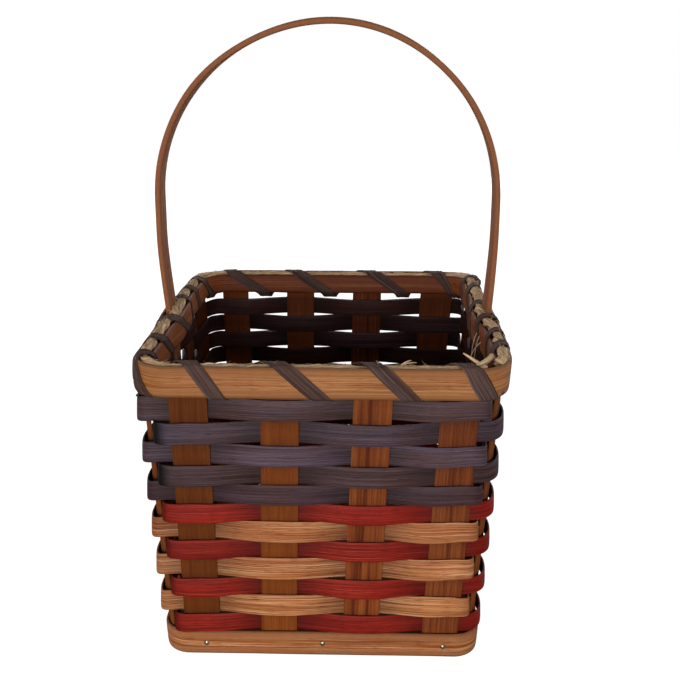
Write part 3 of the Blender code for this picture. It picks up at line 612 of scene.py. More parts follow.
rows = {
    "thick": 1.05 * mm,
    "points": 20, "squareness": 0.6, "steps": 460, "step": 0.4 * mm,
    # how far a row bows away from an upright beyond touching it, in mm at the foot and at the rim; a number
    # is that upright's own, counted from the front left one
    "bowOut": {"front": (0.5, 0.5), "side": (1.2, 1.2), "corner": (0.9, 1.9), 4: (1.3, 1.8), 17: (1.2, 2.4)},
    "bowIn": {"front": (0.3, 0.3), "side": (1.3, 1.3), "corner": (0.9, 1.3), 4: (3.0, 2.3), 17: (2.8, 2.6)},
    "flat": {"front": 0.25, "side": 0.5, "corner": 0.8},   # share of an upright's half width that stays level
    "cornerUprights": (0, 3, 4, 8, 9, 12, 13, 17),
    "cornerKeep": {"in": 0.5, "out": 1.0},     # of a front or back lane, where it reaches the corner
    # half the stretch over which a path is eased, in mm: between uprights, and at most; then at each corner,
    # counted from the front right one, for even and odd rows
    "ease": (4.5, 14), "easeSteep": 1.6,
    "cornerEase": {0: (14, 6), 1: (9, 9), 2: (9, 9), 3: (5.5, 5.5)},
    # where a row passes outside the upright beside a front corner it only stands out this share at the corner
    # itself, on the right and on the left, and all the way at this share of the upright's half width
    "rise": (0.1, 0.6), "riseTo": (-1, -0.3),
    # there it turns back to the wall from this share of the half width
    "leave": 0.05, "besideCorner": 40 * mm,
    "lean": 0.05,                              # how far a row's foot stands out, against its height
    "uneven": (110 * mm, 0.12 * mm), "unevenWidth": (70 * mm, 0.01),
    # on the right a row lies higher outside the wall and lower inside it, on the left the other way round; it
    # comes onto a side from this share of the wall's half width, and fully so after the next share
    "sideSag": (-0.5 * mm, 1.4 * mm), "onSide": (0.75, 0.25),
    "midway": 1.4,                             # how steeply its edges change on the way between two uprights
    "drawnWidth": 10 * mm,                     # of the section and of its grain, before it takes a row's own
    # the first row's lower edge lies low at the front left corner
    "firstDrop": {"by": 1.9 * mm, "start": 52 * mm, "over": 12 * mm, "front": (0.3, 0.5)},
    # the rows rise to the front right corner and narrow there, the lowest ones least
    "cornerRise": {"by": 1.3 * mm, "narrow": 0.7 * mm, "start": 42 * mm, "over": 28 * mm,
                   "front": (1 / 3, 1 / 3), "low": 17 * mm, "lowOver": 30 * mm},
    # an even row is painted darker by this share, a painted shadow, as it goes in behind the upright beside
    # the front left corner, from so far inside the wall's line, over such a stretch; its upper edge stands
    # higher there
    "dive": {"dark": 0.9, "from": 10.5 * mm, "redFrom": 7.5 * mm, "over": 5 * mm, "higher": 0.4 * mm,
             "depth": 22 * mm, "depthOver": 10 * mm},
    "backNarrow": 0.25 * mm, "apart": 0.02 * mm,
    "lapSpaces": 3, "startEven": 8, "startOdd": 9,
    "frontHeights": (123.75, 112.65, 102.3, 92.55, 83.6, 73.9, 65.25, 55.5, 46.25, 35.65, 26.95, 16.9),
    "backHeights": (122.4, 112.9, 103.4, 94.2, 84.4, 75.0, 65.4, 55.8, 46.1, 36.4, 26.7, 17.0),
    "widths": (9.3, 9.6, 9.5, 9.8, 9.5, 9.2, 10.1, 9.4, 10.5, 9.4, 10.5, 9.1),
    "underRim": {"width": 9.1 * mm, "lift": 5.1 * mm, "open": 2},   # open: steps left out at each end
    "finishes": ["purple"] * 5 + ["red", "natural"] * 3 + ["red"],
    "tints": (
        white, (0.95, 0.87, 0.76), (0.84, 0.87, 0.92), (1.06, 1.1, 1.16), (0.78, 0.68, 0.58),
        (0.74, 0.62, 0.6), (0.96, 1.0, 0.78), (0.86, 0.82, 0.8), (0.84, 0.9, 0.74),
        (0.98, 1.03, 1.1), (0.93, 1.06, 0.9), (0.98, 1.04, 1.06), (0.86, 0.95, 0.84),
    ),
    # the inner faces are darker and browner: partly the reeds' own colour, partly painted shade of the
    # basket's inside
    "innerTint": (0.6, 0.42, 0.35),
    "paintedCoverShade": 0.6, "coverShadePower": 1.5,   # painted shade: how much darker a row is where an upright covers it and shades it
    "grainApart": 0.83,
}


# how far out a row runs at each upright that it passes, in its order of travel
def lanesOf(row, z):
    side, along, half, thick = uprightsAt(z)
    count = len(side)
    laps = rows["lapSpaces"] if row else 0
    index = rows["startOdd" if row % 2 else "startEven"] + np.arange(count + laps + 1)
    place = index % count
    outside = (index + row) % 2 == 0
    lanes, flats = [], []
    for step, (k, out) in enumerate(zip(place, outside)):
        beside = "corner" if k in rows["cornerUprights"] else "side"
        kind = beside if side[k] in handleSides else "front"
        table = rows["bowOut" if out else "bowIn"]
        lapped = row and ((out and step >= count) or (not out and step <= laps))
        bow = between(*table.get(int(k), table[kind]), heightShare(z)) * mm * bool(row)
        bow += (rows["thick"] + wall["gap"]) * bool(lapped)
        lanes.append((thick[k] + wall["gap"] + rows["thick"] / 2 + bow) * (1 if out else -1))
        flats.append(half[k] * rows["flat"][kind])
    return side[place].astype(int), along[place], np.array(lanes), np.array(flats), outside


# each stretch of a row's way: side, start and stop along it, then the lane, the share outside, and the bend
def rowRuns(row, z):
    side, along, lane, flat, outside = lanesOf(row, z)
    half = halfAt(z)
    keep, rise, riseTo = rows["cornerKeep"], rows["rise"], rows["riseTo"]
    for k in range(len(side) - 1):
        a, b = side[k], side[k + 1]
        gone = float(outside[k]), float(outside[k + 1])
        start, stop = along[k] + flat[k], along[k + 1] - flat[k + 1]
        if a == b:
            if a == right and outside[k] and along[k] < -rows["besideCorner"]:
                start = along[k] + rows["leave"] * flat[k]
            if a == left and outside[k + 1] and along[k + 1] > rows["besideCorner"]:
                stop = along[k + 1] - rows["leave"] * flat[k + 1]
            yield a, start, stop, lane[k], lane[k + 1], *gone, rows["ease"][0]
            continue
        ends = []
        for n in (k, k + 1):
            share = 1 if side[n] in handleSides else keep["out" if outside[n] else "in"]
            ends.append(lane[n] * share)
        if row and a == front and outside[k + 1]:
            ends[1], stop = ends[1] * rise[0], along[k + 1] + riseTo[0] * flat[k + 1]
        if row and a == left and outside[k]:
            ends[0], start = ends[0] * rise[1], along[k] - riseTo[1] * flat[k]
        bend = rows["cornerEase"][a][row % 2] if row else rows["ease"][1]
        midway = sum(gone) / 2
        yield a, start, half + ends[1], lane[k], ends[0], gone[0], midway, bend
        yield b, -half - ends[0], stop, ends[1], lane[k + 1], midway, gone[1], bend


# along each side from upright to upright in half waves, straight on into each corner, and round it; the
# corners are then eased by averaging the line over a stretch. Columns: x, y, 1 where outside, and the bend
def rowPath(row, z):
    parts = []
    for side, start, stop, laneA, laneB, goneA, goneB, bend in rowRuns(row, z):
        t = np.linspace(0, 1, max(int(abs(stop - start) / rows["step"]), 2))
        wave = (1 - np.cos(math.pi * t)) / 2
        x, y = between(start, stop, t), -(halfAt(z) + between(laneA, laneB, wave))
        c, s = round(math.cos(side * quarterTurn)), round(math.sin(side * quarterTurn))
        x, y = x * c - y * s, x * s + y * c
        parts.append(np.stack([x, y, between(goneA, goneB, wave), np.full_like(t, bend)], 1))
    line = np.concatenate(parts)
    travelled = travel(line[:, :2])
    even = np.arange(0, travelled[-1], rows["step"])
    line = np.stack([np.interp(even, travelled, column) for column in line.T], 1)
    least, most = rows["ease"]
    soft, widely = eased(line, least * mm), eased(line, most * mm)
    share = ((widely[:, 3:] - least) / (most - least)).clip(0, 1)
    return between(soft, widely, smooth(share * rows["easeSteep"]))


# the average of each column over a stretch to both sides, weighted by a half wave
def eased(line, reach):
    n = int(reach / rows["step"])
    weights = 1 + np.cos(math.pi * np.arange(-n, n + 1) / (n + 1))
    padded = np.pad(line, ((n, n), (0, 0)), mode="reflect", reflect_type="odd")
    return np.stack([np.convolve(column, weights / weights.sum(), mode="valid") for column in padded.T], 1)


# a row's lower and upper edge where it crosses an upright, and then halfway between two, where it only
# reaches to the middle of its overlap with the next row
def rowEdges(row, heights, narrow):
    middle, half = np.array(heights) * mm, (np.array(rows["widths"]) * mm - narrow) / 2
    low, high = middle - half, middle + half
    meet = np.concatenate([[np.inf], (low[:-1] + high[1:]) / 2, [-np.inf]])
    k = row - 1
    lowMid, highMid = meet[k + 1] + rows["apart"], meet[k] - rows["apart"]
    return np.array([low[k], high[k], max(low[k], lowMid), min(high[k], highMid)])


# a reed carried along its path on edge, its height following the photo's rows
def makeRow(row, finish, name):
    if row:
        atFront = rowEdges(row, rows["frontHeights"], 0)
        atBack = rowEdges(row, rows["backHeights"], rows["backNarrow"])
    else:
        half = rows["underRim"]["width"] / 2
        atFront = atBack = rimBottom + rows["underRim"]["lift"] + np.array([-half, half, -half, half])
    z0 = (atFront[:2].mean() + atBack[:2].mean()) / 2
    wallAt = halfAt(z0)
    path = rowPath(row, z0)
    s = np.arange(len(path)) * rows["step"]
    if not row:
        ring = slice(rows["underRim"]["open"], -rows["underRim"]["open"])
        path, s = path[ring], s[ring]
    stations = np.linspace(s[0], s[-1], rows["steps"])
    x, y, outside, _ = (np.interp(stations, s, column) for column in path.T)
    run = unit(np.stack([np.gradient(x), np.gradient(y)], 1))
    toFront = np.clip(-y / wallAt, -1, 1)
    low, high, lowMid, highMid = between(atBack[:, None], atFront[:, None], (toFront + 1) / 2)
    midway = smooth((1 - np.abs(2 * outside - 1)) * rows["midway"])
    low, high = between(low, lowMid, midway), between(high, highMid, midway)
    onSide = rising(np.abs(x) / wallAt, *rows["onSide"])
    first, rise, dive = rows["firstDrop"], rows["cornerRise"], rows["dive"]
    dropped = first["by"] * (row == 1) * rising(-x, first["start"], first["over"])
    dropped = dropped * rising(toFront, *first["front"])
    risen = bool(row) * rising(x, rise["start"], rise["over"]) * rising(toFront, *rise["front"])
    inside = dive["redFrom" if finish == "red" else "from"]
    diving = bool(row) * (row % 2 == 0) * rising(-x, wallAt - inside, dive["over"])
    diving = diving * rising(-y, wallAt - dive["depth"], dive["depthOver"])
    raised = dive["higher"] * diving
    z = (low + high) / 2 + wander(stations, 40 + row // 2, *rows["uneven"])
    z = z + bool(row) * np.where(x > 0, *rows["sideSag"]) * onSide * (1 - 2 * outside)
    z = z + (raised - dropped) / 2 + rise["by"] * rising(z0, rise["low"], rise["lowOver"]) * risen
    wide = (high - low) * (1 + wander(stations, 60 + row, *rows["unevenWidth"]))
    wide = wide + dropped + raised - rise["narrow"] * risen
    out, up, ring = flatOval(rows["thick"], rows["drawnWidth"], rows["points"], rows["squareness"])
    upright = up[None] / rows["drawnWidth"] * wide[:, None]
    away = out[None] - rows["lean"] * upright
    x, y = x[:, None] + run[:, 1:] * away, y[:, None] - run[:, :1] * away
    grid = np.stack([x, y, z[:, None] + upright], axis=-1)
    outer = smooth(0.5 + out / rows["thick"])[None, :, None]
    # painted shade on the face of a row that lies against an upright
    coverShade = between(1 - outer, outer, 1 - outside[:, None, None]) ** rows["coverShadePower"]
    # painted shadow where an even row dives in behind the upright beside the front left corner
    shade = (1 - rows["paintedCoverShade"] * coverShade) * (1 - dive["dark"] * diving)[:, None, None]
    # inner faces: own colour and painted shade of the inside
    tint = np.array(rows["tints"][row]) * shade * between(1, np.array(rows["innerTint"]), 1 - outer)
    mesh = loftMesh(name + "Reed", grid, (stations + row * rows["grainApart"], ring), tint)
    return addPiece(name + "Reed", mesh, finish, finish + "_reed", name)


# drop is how far the inner band lies below the rim's top
bands = {
    "outer": {"height": 14.2 * mm, "thick": 1.7 * mm, "lap": 30 * mm, "wood": "band",
              "tint": (0.9, 0.98, 1.02)},
    # the inner band's tints are painted shade of the basket's inside: darkest along the back, lighter on the
    # sides and front
    "inner": {"height": 11.8 * mm, "thick": 2.0 * mm, "lap": 30 * mm, "wood": "band", "drop": 1.0 * mm,
              "tint": (0.44, 0.26, 0.17), "sideTint": (0.74, 0.56, 0.46)},
    "bottom": {"height": 12.4 * mm, "thick": 1.6 * mm, "lap": 24 * mm, "wood": "bottom",
               "tint": (0.95, 0.99, 1.0)},
    "points": 24, "squareness": 0.55, "stations": 560,
    # share of the thickness left at the ends, and the length over which a whole thickness would come back
    "thin": 0.2, "thinOver": 60 * mm,
    "unevenHeight": (90 * mm, 0.012), "unevenLevel": (150 * mm, 0.1 * mm),
    # painted shade along each band's upper and lower edge: the share darker, from this share of the height,
    # over this share
    "edgeShadeShare": 0.45, "edgeFrom": 0.38, "edgeOver": 0.1,
    # half of the level stretch beside a handle leg, and the ramp after it
    "legFlat": 8.5 * mm, "legRamp": 20 * mm,
    "squeezed": 0.62,           # share of the full bundle's thickness left beside the handle
    "cornerFade": 16 * mm,      # stretch before a corner over which front and side values meet
    "grainApart": 0.37,
}
bottomSeat = stakes["thick"] / 2 + wall["gap"]
seat = stakes["thick"] / 2 + rows["thick"] + 2 * wall["gap"]
fillerRadius = 1.8 * mm
outerBulge = handle["thick"] / 2 + rows["thick"] + 2 * wall["gap"] - seat
fillerBulge = bands["squeezed"] * (handle["thick"] / 2 + wall["gap"] + fillerRadius)
innerBulge = bands["squeezed"] * (handle["thick"] / 2 + 2 * wall["gap"] + 2 * fillerRadius - seat)


# 1 beside a handle leg, falling in a half wave to 0 away from it
def legNear(side, along):
    past = (np.abs(along) - bands["legFlat"]) / bands["legRamp"]
    return np.isin(side, handleSides) * (1 + np.cos(math.pi * np.clip(past, 0, 1))) / 2


# 1 along the front and back, 0 along the left and right, eased round the corners
def alongFront(side, along):
    corner = rising(quarterAt(rimTop) / 2 - np.abs(along), 0, bands["cornerFade"]) / 2
    return np.where(np.isin(side, handleSides), 0.5 - corner, 0.5 + corner)


# a half round reed carried round the wall from the middle of the back, its two ends thinned where they lap
def makeBand(name, look, seatAt, outward, bulge, middleZ):
    quarter, lap, thin = quarterAt(middleZ), look["lap"], bands["thin"]
    s = np.linspace(2 * quarter - lap / 2, 6 * quarter + lap / 2, bands["stations"])
    side, along = sidePlace(s, middleZ)
    thick = 1 - thin - wall["gap"] / look["thick"]
    startLap = np.clip((s - s[0]) / lap, 0, 1)
    endLap = np.clip((s[-1] - s) / lap, 0, 1)
    whole = np.minimum(1, thick + (s - s[0] - lap) / bands["thinOver"])
    far = np.where(startLap < 1, between(thin, thick, startLap), whole)
    near = np.where(endLap < 1, 1 - between(thin, thick, endLap), 0)
    out, up, ring = flatOval(1, look["height"], bands["points"], bands["squareness"])
    face = near[:, None] + (out + 0.5)[None] * (far - near)[:, None]
    push = seatAt + bulge * legNear(side, along)
    offset = outward * (push[:, None] + look["thick"] * face)
    level = middleZ + wander(s, 7 + len(name), *bands["unevenLevel"])
    z = level[:, None] + up[None] * (1 + wander(s, len(name), *bands["unevenHeight"]))[:, None]
    grid = onWall(side[:, None], along[:, None], offset, z)
    tint = np.array(look["tint"])
    # painted shade: the inner band darkest along the back, lighter on the sides and front
    if "sideTint" in look:
        atBack = alongFront(side, along) * (side != front)
        tint = between(np.array(look["sideTint"]), tint, atBack[:, None, None])
    # painted shade along the upper and lower edges
    edge = 1 - bands["edgeShadeShare"] * rising(np.abs(up) / look["height"], bands["edgeFrom"], bands["edgeOver"])
    grain = s + len(name) * bands["grainApart"]
    mesh = loftMesh(name + "Reed", grid, (grain, ring), tint * edge[None, :, None])
    return addPiece(name + "Reed", mesh, look["wood"], "band_reed", name)


# thin round strands, all in one mesh: a small ring carried along each of many paths at once; apart is the
# distance between two strands on the grain map
def strandMesh(name, paths, radii, sides, tint=white, apart=0.37):
    count, steps = paths.shape[:2]
    paths = settle(paths)
    run = unit(np.gradient(paths, axis=1))
    helper = np.where(np.abs(run[..., 2:]) > 0.9, np.array([1.0, 0, 0]), upward)
    across = unit(np.cross(run, helper))
    up = np.cross(across, run)
    angle = tau * np.arange(sides) / sides
    around = np.cos(angle)[:, None] * across[:, :, None] + np.sin(angle)[:, None] * up[:, :, None]
    points = paths[:, :, None] + radii[:, :, None, None] * around
    j, i, n = np.meshgrid(np.arange(sides), np.arange(steps - 1), np.arange(count), indexing="ij")
    atStep = np.stack([i, i + 1, i + 1, i], -1)
    atRing = np.stack([j, j, j + 1, j + 1], -1)
    quads = (n[..., None] * steps + atStep) * sides + atRing % sides
    ends = np.arange(count)[:, None] * steps * sides + np.arange(sides)[None]
    faces = quads.reshape(-1, 4).tolist() + ends.tolist() + (ends + (steps - 1) * sides)[:, ::-1].tolist()
    length = np.stack([travel(path) for path in paths])
    alongUv = length[n[..., None], atStep] + n[..., None] * apart
    loopUv = np.stack([alongUv, atRing * (tau / sides * mm)], -1).reshape(-1, 2)
    loopUv = np.concatenate([loopUv, np.zeros((2 * count * sides, 2))])
    tints = np.broadcast_to(np.asarray(tint, float).reshape(-1, 1, 1, 3), points.shape)
    return makeMesh(name, points, faces, loopUv, tints)


filler = {
    "drop": 0.3 * mm,
    "points": 1100, "sides": 8,
    "strands": 9, "strandRadius": 0.72 * mm, "strandUneven": (14 * mm, 0.16), "strandSize": 0.92,
    # the strands' distance from the middle
    "core": 1.15 * mm, "coreUneven": (24 * mm, 0.28), "coreSize": 0.9,
    "twist": 46 * mm, "twistUneven": (50 * mm, 0.9), "flatten": 0.92,
    # it is thinnest under a wrap and swells between two, most on the left and right
    "tightest": 0.86, "loosest": 0.14, "swellOver": 8 * mm, "swellSoft": 20, "uneven": (26 * mm, 0.07),
    "sideSwell": 0.42, "frontSwell": 0.05,
    "flatDrop": 1.3 * mm,       # how much lower it lies along the front and back
    "startAt": 2.0 * mm, "endAt": -5.0 * mm,    # from the front right corner
    "tint": (0.75, 0.35), "tintSpread": (1, 0.97, 0.92), "tintSeed": 8,
}


# distance to the nearest wrap that goes over the top, all the way round
def fromWrap(s):
    quarter = quarterAt(rimTop)
    overs = np.array([side * quarter + over * mm for side in range(4) for over, _ in lashing["wraps"][side]])
    return np.abs((s[..., None] - overs + 2 * quarter) % (4 * quarter) - 2 * quarter).min(-1)


# the bundle's stations: distance round the wall, side, place along it, how far out it lies, and its size
def fillerRun():
    quarter = quarterAt(rimTop)
    s = np.linspace(0.5 * quarter + filler["startAt"], 4.5 * quarter + filler["endAt"], filler["points"])
    side, along = sidePlace(s, rimTop)
    swell = np.where(np.isin(side, handleSides), filler["sideSwell"], filler["frontSwell"])
    swell = filler["loosest"] + averaged(swell, filler["swellSoft"])
    size = filler["tightest"] + swell * rising(fromWrap(s), 0, filler["swellOver"])
    size = size + wander(s, 91, *filler["uneven"])
    return s, side, along, -fillerBulge * legNear(side, along), size


# a bundle of grass: strands that wander slowly round the bundle's middle and sink in and out of it
def makeFiller():
    s, side, along, offset, size = fillerRun()
    out = (onWall(side, along, offset + mm, rimTop) - onWall(side, along, offset, rimTop)) / mm
    low = filler["flatDrop"] * alongFront(side, along)
    middle = onWall(side, along, offset, rimTop - filler["drop"]) - low[:, None] * upward
    paths, radii = [], []
    for k in range(filler["strands"]):
        turn = tau * (k / filler["strands"] + s / filler["twist"])
        turn = turn + wander(s, 200 + k, *filler["twistUneven"])
        deep = filler["core"] * size * (filler["coreSize"] + wander(s, 300 + k, *filler["coreUneven"]))
        lift = deep * np.sin(turn) * filler["flatten"]
        paths.append(middle + out * (deep * np.cos(turn))[:, None] + lift[:, None] * upward)
        thin = filler["strandSize"] + wander(s, 400 + k, *filler["strandUneven"])
        radii.append(filler["strandRadius"] * size * thin)
    rng = np.random.default_rng(filler["tintSeed"])
    least, spread = filler["tint"]
    tint = least + spread * rng.random((filler["strands"], 1)) * np.array(filler["tintSpread"])
    mesh = strandMesh("rimFillerGrass", np.array(paths), np.array(radii), filler["sides"], tint)
    return addPiece("rimFillerGrass", mesh, "grass", "filler_grass", "rim_filler")


fuzz = {
    "seed": 17, "count": 1000, "steps": 8, "sides": 3,
    "length": (1.2 * mm, 4.5 * mm), "radius": 0.12 * mm, "thickness": (0.6, 0.9), "taper": 0.8,
    "ahead": 0.5, "slant": 1.5, "rise": 0.5, "curl": 0.45,
    "spread": 2.4 * mm, "depth": 0.25,          # over the bundle's width, and into its top
    "ends": 10,                                 # stations left bare at each end
    "tint": (0.8, 0.5),
}


# loose fibres that leave the bundle at a slant, curl as the square of their length, and thin to a point
def makeFuzz():
    rng = np.random.default_rng(fuzz["seed"])
    count = fuzz["count"]
    s, side, along, offset, size = fillerRun()
    pick = rng.integers(fuzz["ends"], len(s) - fuzz["ends"], count)
    height = rimTop - filler["drop"]
    start = onWall(side[pick], along[pick], offset[pick], height)
    ahead = onWall(*sidePlace(s[pick] + mm, rimTop), offset[pick], height)
    run = (ahead - start) / mm * np.where(rng.random((count, 1)) < 0.5, -1, 1)
    out = np.cross(run, upward)
    slant = (rng.random((count, 1)) - 0.5) * fuzz["slant"]
    rise = fuzz["rise"] * rng.random((count, 1))
    heading = unit(run * (fuzz["ahead"] + rng.random((count, 1))) + out * slant + upward * rise)
    length = between(*fuzz["length"], rng.random((count, 1)) ** 2)
    t = np.linspace(0, 1, fuzz["steps"])[None, :, None]
    curl = (rng.random((count, 1, 3)) - 0.5) * fuzz["curl"]
    lift = fillerRadius * (size[pick] - fuzz["depth"]) - filler["flatDrop"] * alongFront(side, along)[pick]
    begin = start + out * (rng.random((count, 1)) - 0.5) * fuzz["spread"] + upward * lift[:, None]
    paths = begin[:, None] + length[:, None] * (heading[:, None] * t + curl * t ** 2)
    thin, thicker = fuzz["thickness"]
    radii = fuzz["radius"] * (1 - fuzz["taper"] * t[..., 0]) * (thin + thicker * rng.random((count, 1)))
    tint = fuzz["tint"][0] + fuzz["tint"][1] * rng.random((count, 1)) * np.ones(3)
    mesh = strandMesh("rimFillerFuzz", paths, radii, fuzz["sides"], tint)
    return addPiece("rimFillerFuzz", mesh, "grass", "filler_grass", "rim_filler")


# ends that have worked loose: start, middle and tip of each in mm, and its thickness
looseEnds = {
    "twig": ((67.0, -74.5, 143.8), (63.5, -73.0, 145.9), (59.3, -71.5, 148.0), 0.78),
    "curl": ((71.8, -64.0, 144.0), (70.8, -72.0, 145.4), (64.0, -76.2, 144.0), 1.35),
    "tuft": ((33.5, -77.2, 144.6), (35.5, -77.5, 146.4), (37.6, -78.0, 147.0), 0.3),
    "tuftLow": ((34.5, -77.0, 144.8), (37.0, -77.2, 145.9), (39.8, -77.0, 145.6), 0.28),
    "hangingOne": ((70.0, -30.0, 141.5), (67.5, -36.0, 140.0), (66.5, -44.0, 133.0), 0.22),
    "hangingTwo": ((69.5, -24.0, 141.0), (66.2, -30.0, 136.0), (67.0, -33.0, 129.0), 0.2),
    "hangingThree": ((69.5, -40.0, 142.0), (65.6, -43.0, 140.0), (64.0, -50.0, 137.0), 0.24),
    "leftTuft": ((-74.5, 8.0, 145.5), (-77.5, 10.5, 147.0), (-80.0, 12.0, 146.5), 0.3),
    "leftTuftLow": ((-74.5, 4.0, 145.5), (-77.0, 2.5, 147.3), (-80.5, 3.0, 147.5), 0.24),
}


# each end follows the square curve through its start and tip that leans toward its middle, and thins out
def makeLooseEnds(steps=16, taper=0.55, sides=8):
    t = np.linspace(0, 1, steps)[:, None]
    paths, radii = [], []
    for *knots, thick in looseEnds.values():
        a, b, c = (np.array(k) * mm for k in knots)
        paths.append((1 - t) ** 2 * a + 2 * t * (1 - t) * b + t ** 2 * c)
        radii.append(thick * mm * (1 - taper * t[:, 0] ** 2))
    mesh = strandMesh("looseGrassEnds", np.array(paths), np.array(radii), sides)
    return addPiece("looseGrassEnds", mesh, "grass", "filler_grass", "rim_filler")


lashing = {
    "width": 6.5 * mm, "thick": 0.55 * mm,
    "points": 44, "squareness": 0.7,
    # each wrap: where it comes over the top and where it goes under the bands, along its side, in mm
    "wraps": {
        front: ((-54.6, -43.0), (-17.9, 0.4), (21.8, 38.5), (60.6, 69.4)),
        right: ((-50.4, -41.0), (-32.4, -22.0), (-11.8, -3.8), (10.8, 20.0), (43.8, 52.0), (63.6, 76.0)),
        back: ((-58.8, -42.6), (-21.9, -1.0), (21.3, 38.0), (60.6, 74.6)),
        left: ((-54.6, -44.0), (-35.0, -23.0), (-16.6, -8.0), (17.6, 26.0), (45.8, 54.0), (66.6, 76.5)),
    },
    "sideWidth": 0.78,          # share of its width on the left and right, where it is pulled tight
    "ribs": 5, "groove": 0.09 * mm, "grooveFrom": 0.1 * mm,
    "topShare": 0.16,           # of a wrap's whole travel, spent going over the filler
    "clear": 0.6,               # of the gap between layers
    "up": (0.08, 0.5, 0.9), "down": (0.1, 0.5, 0.94),      # where the faces' knots lie, in shares
    "shoulder": 0.35, "shoulderIn": 1.1 * mm,
    "turnAt": 0.05, "turnIn": 0.8 * mm, "turnTo": 0.18, "turnBack": 0.4 * mm, "startIn": 0.5 * mm,
    "stepsFace": 8, "round": 0.45, "roundSteps": 13,
    "look": 0.2 * mm, "leastSine": 0.6,
}


# the strip's way: straight up the inside, over the filler, straight down the outside and under; knots of
# distance, face (1 outside, -1 inside, 0 over the filler), gap and height, rounded off afterwards
def lashKnots():
    half = lashing["thick"] / 2 + wall["gap"] * lashing["clear"]
    quarter = quarterAt(rimTop)
    innerBottom = rimTop - bands["inner"]["drop"] - bands["inner"]["height"]
    crown = rimTop - filler["drop"] + fillerRadius + half
    under = -0.5 * quarter
    knots = []
    for side, wraps in sorted(lashing["wraps"].items()):
        for over, below in wraps:
            over, below = (side * quarter + v * mm for v in (over, below))
            top = lashing["topShare"] * (below - under)
            inner, outer = over - top / 2, over + top / 2
            shoulder = lashing["shoulder"] * top
            knots += [(under, -1, -lashing["startIn"], innerBottom - half)]
            knots += [(between(under, inner, t), -1, half, between(innerBottom, rimTop, t))
                      for t in lashing["up"]]
            knots += [(over - shoulder, -1, -lashing["shoulderIn"], rimTop + half), (over, 0, 0, crown),
                      (over + shoulder, 1, -lashing["shoulderIn"], rimTop + half)]
            knots += [(between(outer, below, t), 1, half, between(rimTop, rimBottom, t))
                      for t in lashing["down"]]
            knots += [(below + lashing["turnAt"] * (below - outer), 1, -lashing["turnIn"], rimBottom - half)]
            under = below + lashing["turnTo"] * (below - outer)
            knots += [(under - lashing["turnBack"], -1, -bands["inner"]["thick"], rimBottom - half)]
    return np.array(knots[:-1])


# on the outer face, on the inner face or on the filler, by the share that face says, out by the gap
def lashSpot(distance, face, gap, z):
    side, along = sidePlace(distance, rimTop)
    near = legNear(side, along)
    reach = seat + bands["outer"]["thick"] + gap
    over, outer, inner = -fillerBulge * near, reach + outerBulge * near, -(reach + innerBulge * near)
    z = z - (1 - np.abs(face)) * filler["flatDrop"] * alongFront(side, along)
    offset = np.where(face >= 0, between(over, outer, face), between(over, inner, -face))
    return onWall(side, along, offset, z)


# straight between knots, with each knot rounded by an average that is weighted by a half wave
def softLine(t, values, at):
    samples = np.linspace(-lashing["round"], lashing["round"], lashing["roundSteps"])
    weights = 1 + np.cos(math.pi * samples / lashing["round"])
    total = sum(w * np.interp(at + d, t, values) for d, w in zip(samples, weights))
    return total / weights.sum()


# the ribbed strip laid along its way, each point of its section shifted level round the wall, so that it lies
# flat on what it wraps; it is stretched by 1 / sine of the angle between its way and the level
def makeLashing():
    knots = lashKnots()
    per = lashing["stepsFace"]
    dense = np.linspace(0, len(knots) - 1, (len(knots) - 1) * per + 1)
    lanes = [softLine(np.arange(len(knots)), column, dense) for column in knots.T]
    middle = lashSpot(*lanes)
    run = unit(np.gradient(middle, axis=0))
    level = unit(lashSpot(lanes[0] + lashing["look"], *lanes[1:]) - middle)
    facing = np.cross(level, run)
    sine = np.linalg.norm(facing, axis=1)
    stretch = averaged(1 / np.clip(sine, lashing["leastSine"], 1), per)
    stretch = stretch * between(lashing["sideWidth"], 1, alongFront(*sidePlace(lanes[0], rimTop)))
    out, across, ring = flatOval(lashing["thick"], lashing["width"], lashing["points"], lashing["squareness"])
    rib = np.cos(tau * lashing["ribs"] * across / lashing["width"])
    out = out + lashing["groove"] * rib * (np.abs(out) > lashing["grooveFrom"])
    grid = np.stack([lashSpot(lanes[0] + a * stretch, *lanes[1:]) + o * unit(facing)
                     for o, a in zip(out, across)], 1)
    mesh = loftMesh("rimLashingStrip", grid, (travel(middle), ring))
    return addPiece("rimLashingStrip", mesh, "lash", "lashing_reed", "rim_lashing")


board = {
    "ease": 0.6 * mm, "points": 240, "grainStep": 0.01,
    # under, round the edge and over the top: share of the plan's size, pull inward in eases, height
    "rings": ((0.02, 0, "low"), (0.5, 0, "low"), (1, 1, "low"), (1, 0, "lowEase"),
              (1, 0, "highEase"), (1, 1, "high"), (0.5, 0, "high"), (0.02, 0, "high")),
}


# the wall's plan drawn in to a share of its size, ring after ring; its grain runs straight across the plan
def makeBoard():
    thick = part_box("base_board")[1].z
    ease = board["ease"]
    heights = {"low": 0, "lowEase": ease, "highEase": thick - ease, "high": thick}
    around = 4 * quarterAt(0)
    side, along = sidePlace(np.linspace(0, around, board["points"], endpoint=False), 0)
    rings = [onWall(side, along, -bottomSeat - pull * ease, heights[level]) * (size, size, 1)
             for size, pull, level in board["rings"]]
    grain = np.arange(len(rings)) * board["grainStep"], np.linspace(0, around, board["points"] + 1)
    mesh = loftMesh("baseBoardWood", np.stack(rings), grain)
    place = np.zeros(len(mesh.vertices) * 3)
    mesh.vertices.foreach_get("co", place)
    corner = np.zeros(len(mesh.loops), np.int64)
    mesh.loops.foreach_get("vertex_index", corner)
    x, y, z = place.reshape(-1, 3)[corner].T
    mesh.uv_layers["grain"].data.foreach_set("uv", np.stack([x, y + z], 1).astype(np.float32).ravel())
    return addPiece("baseBoardWood", mesh, "board", "board", "base_board")


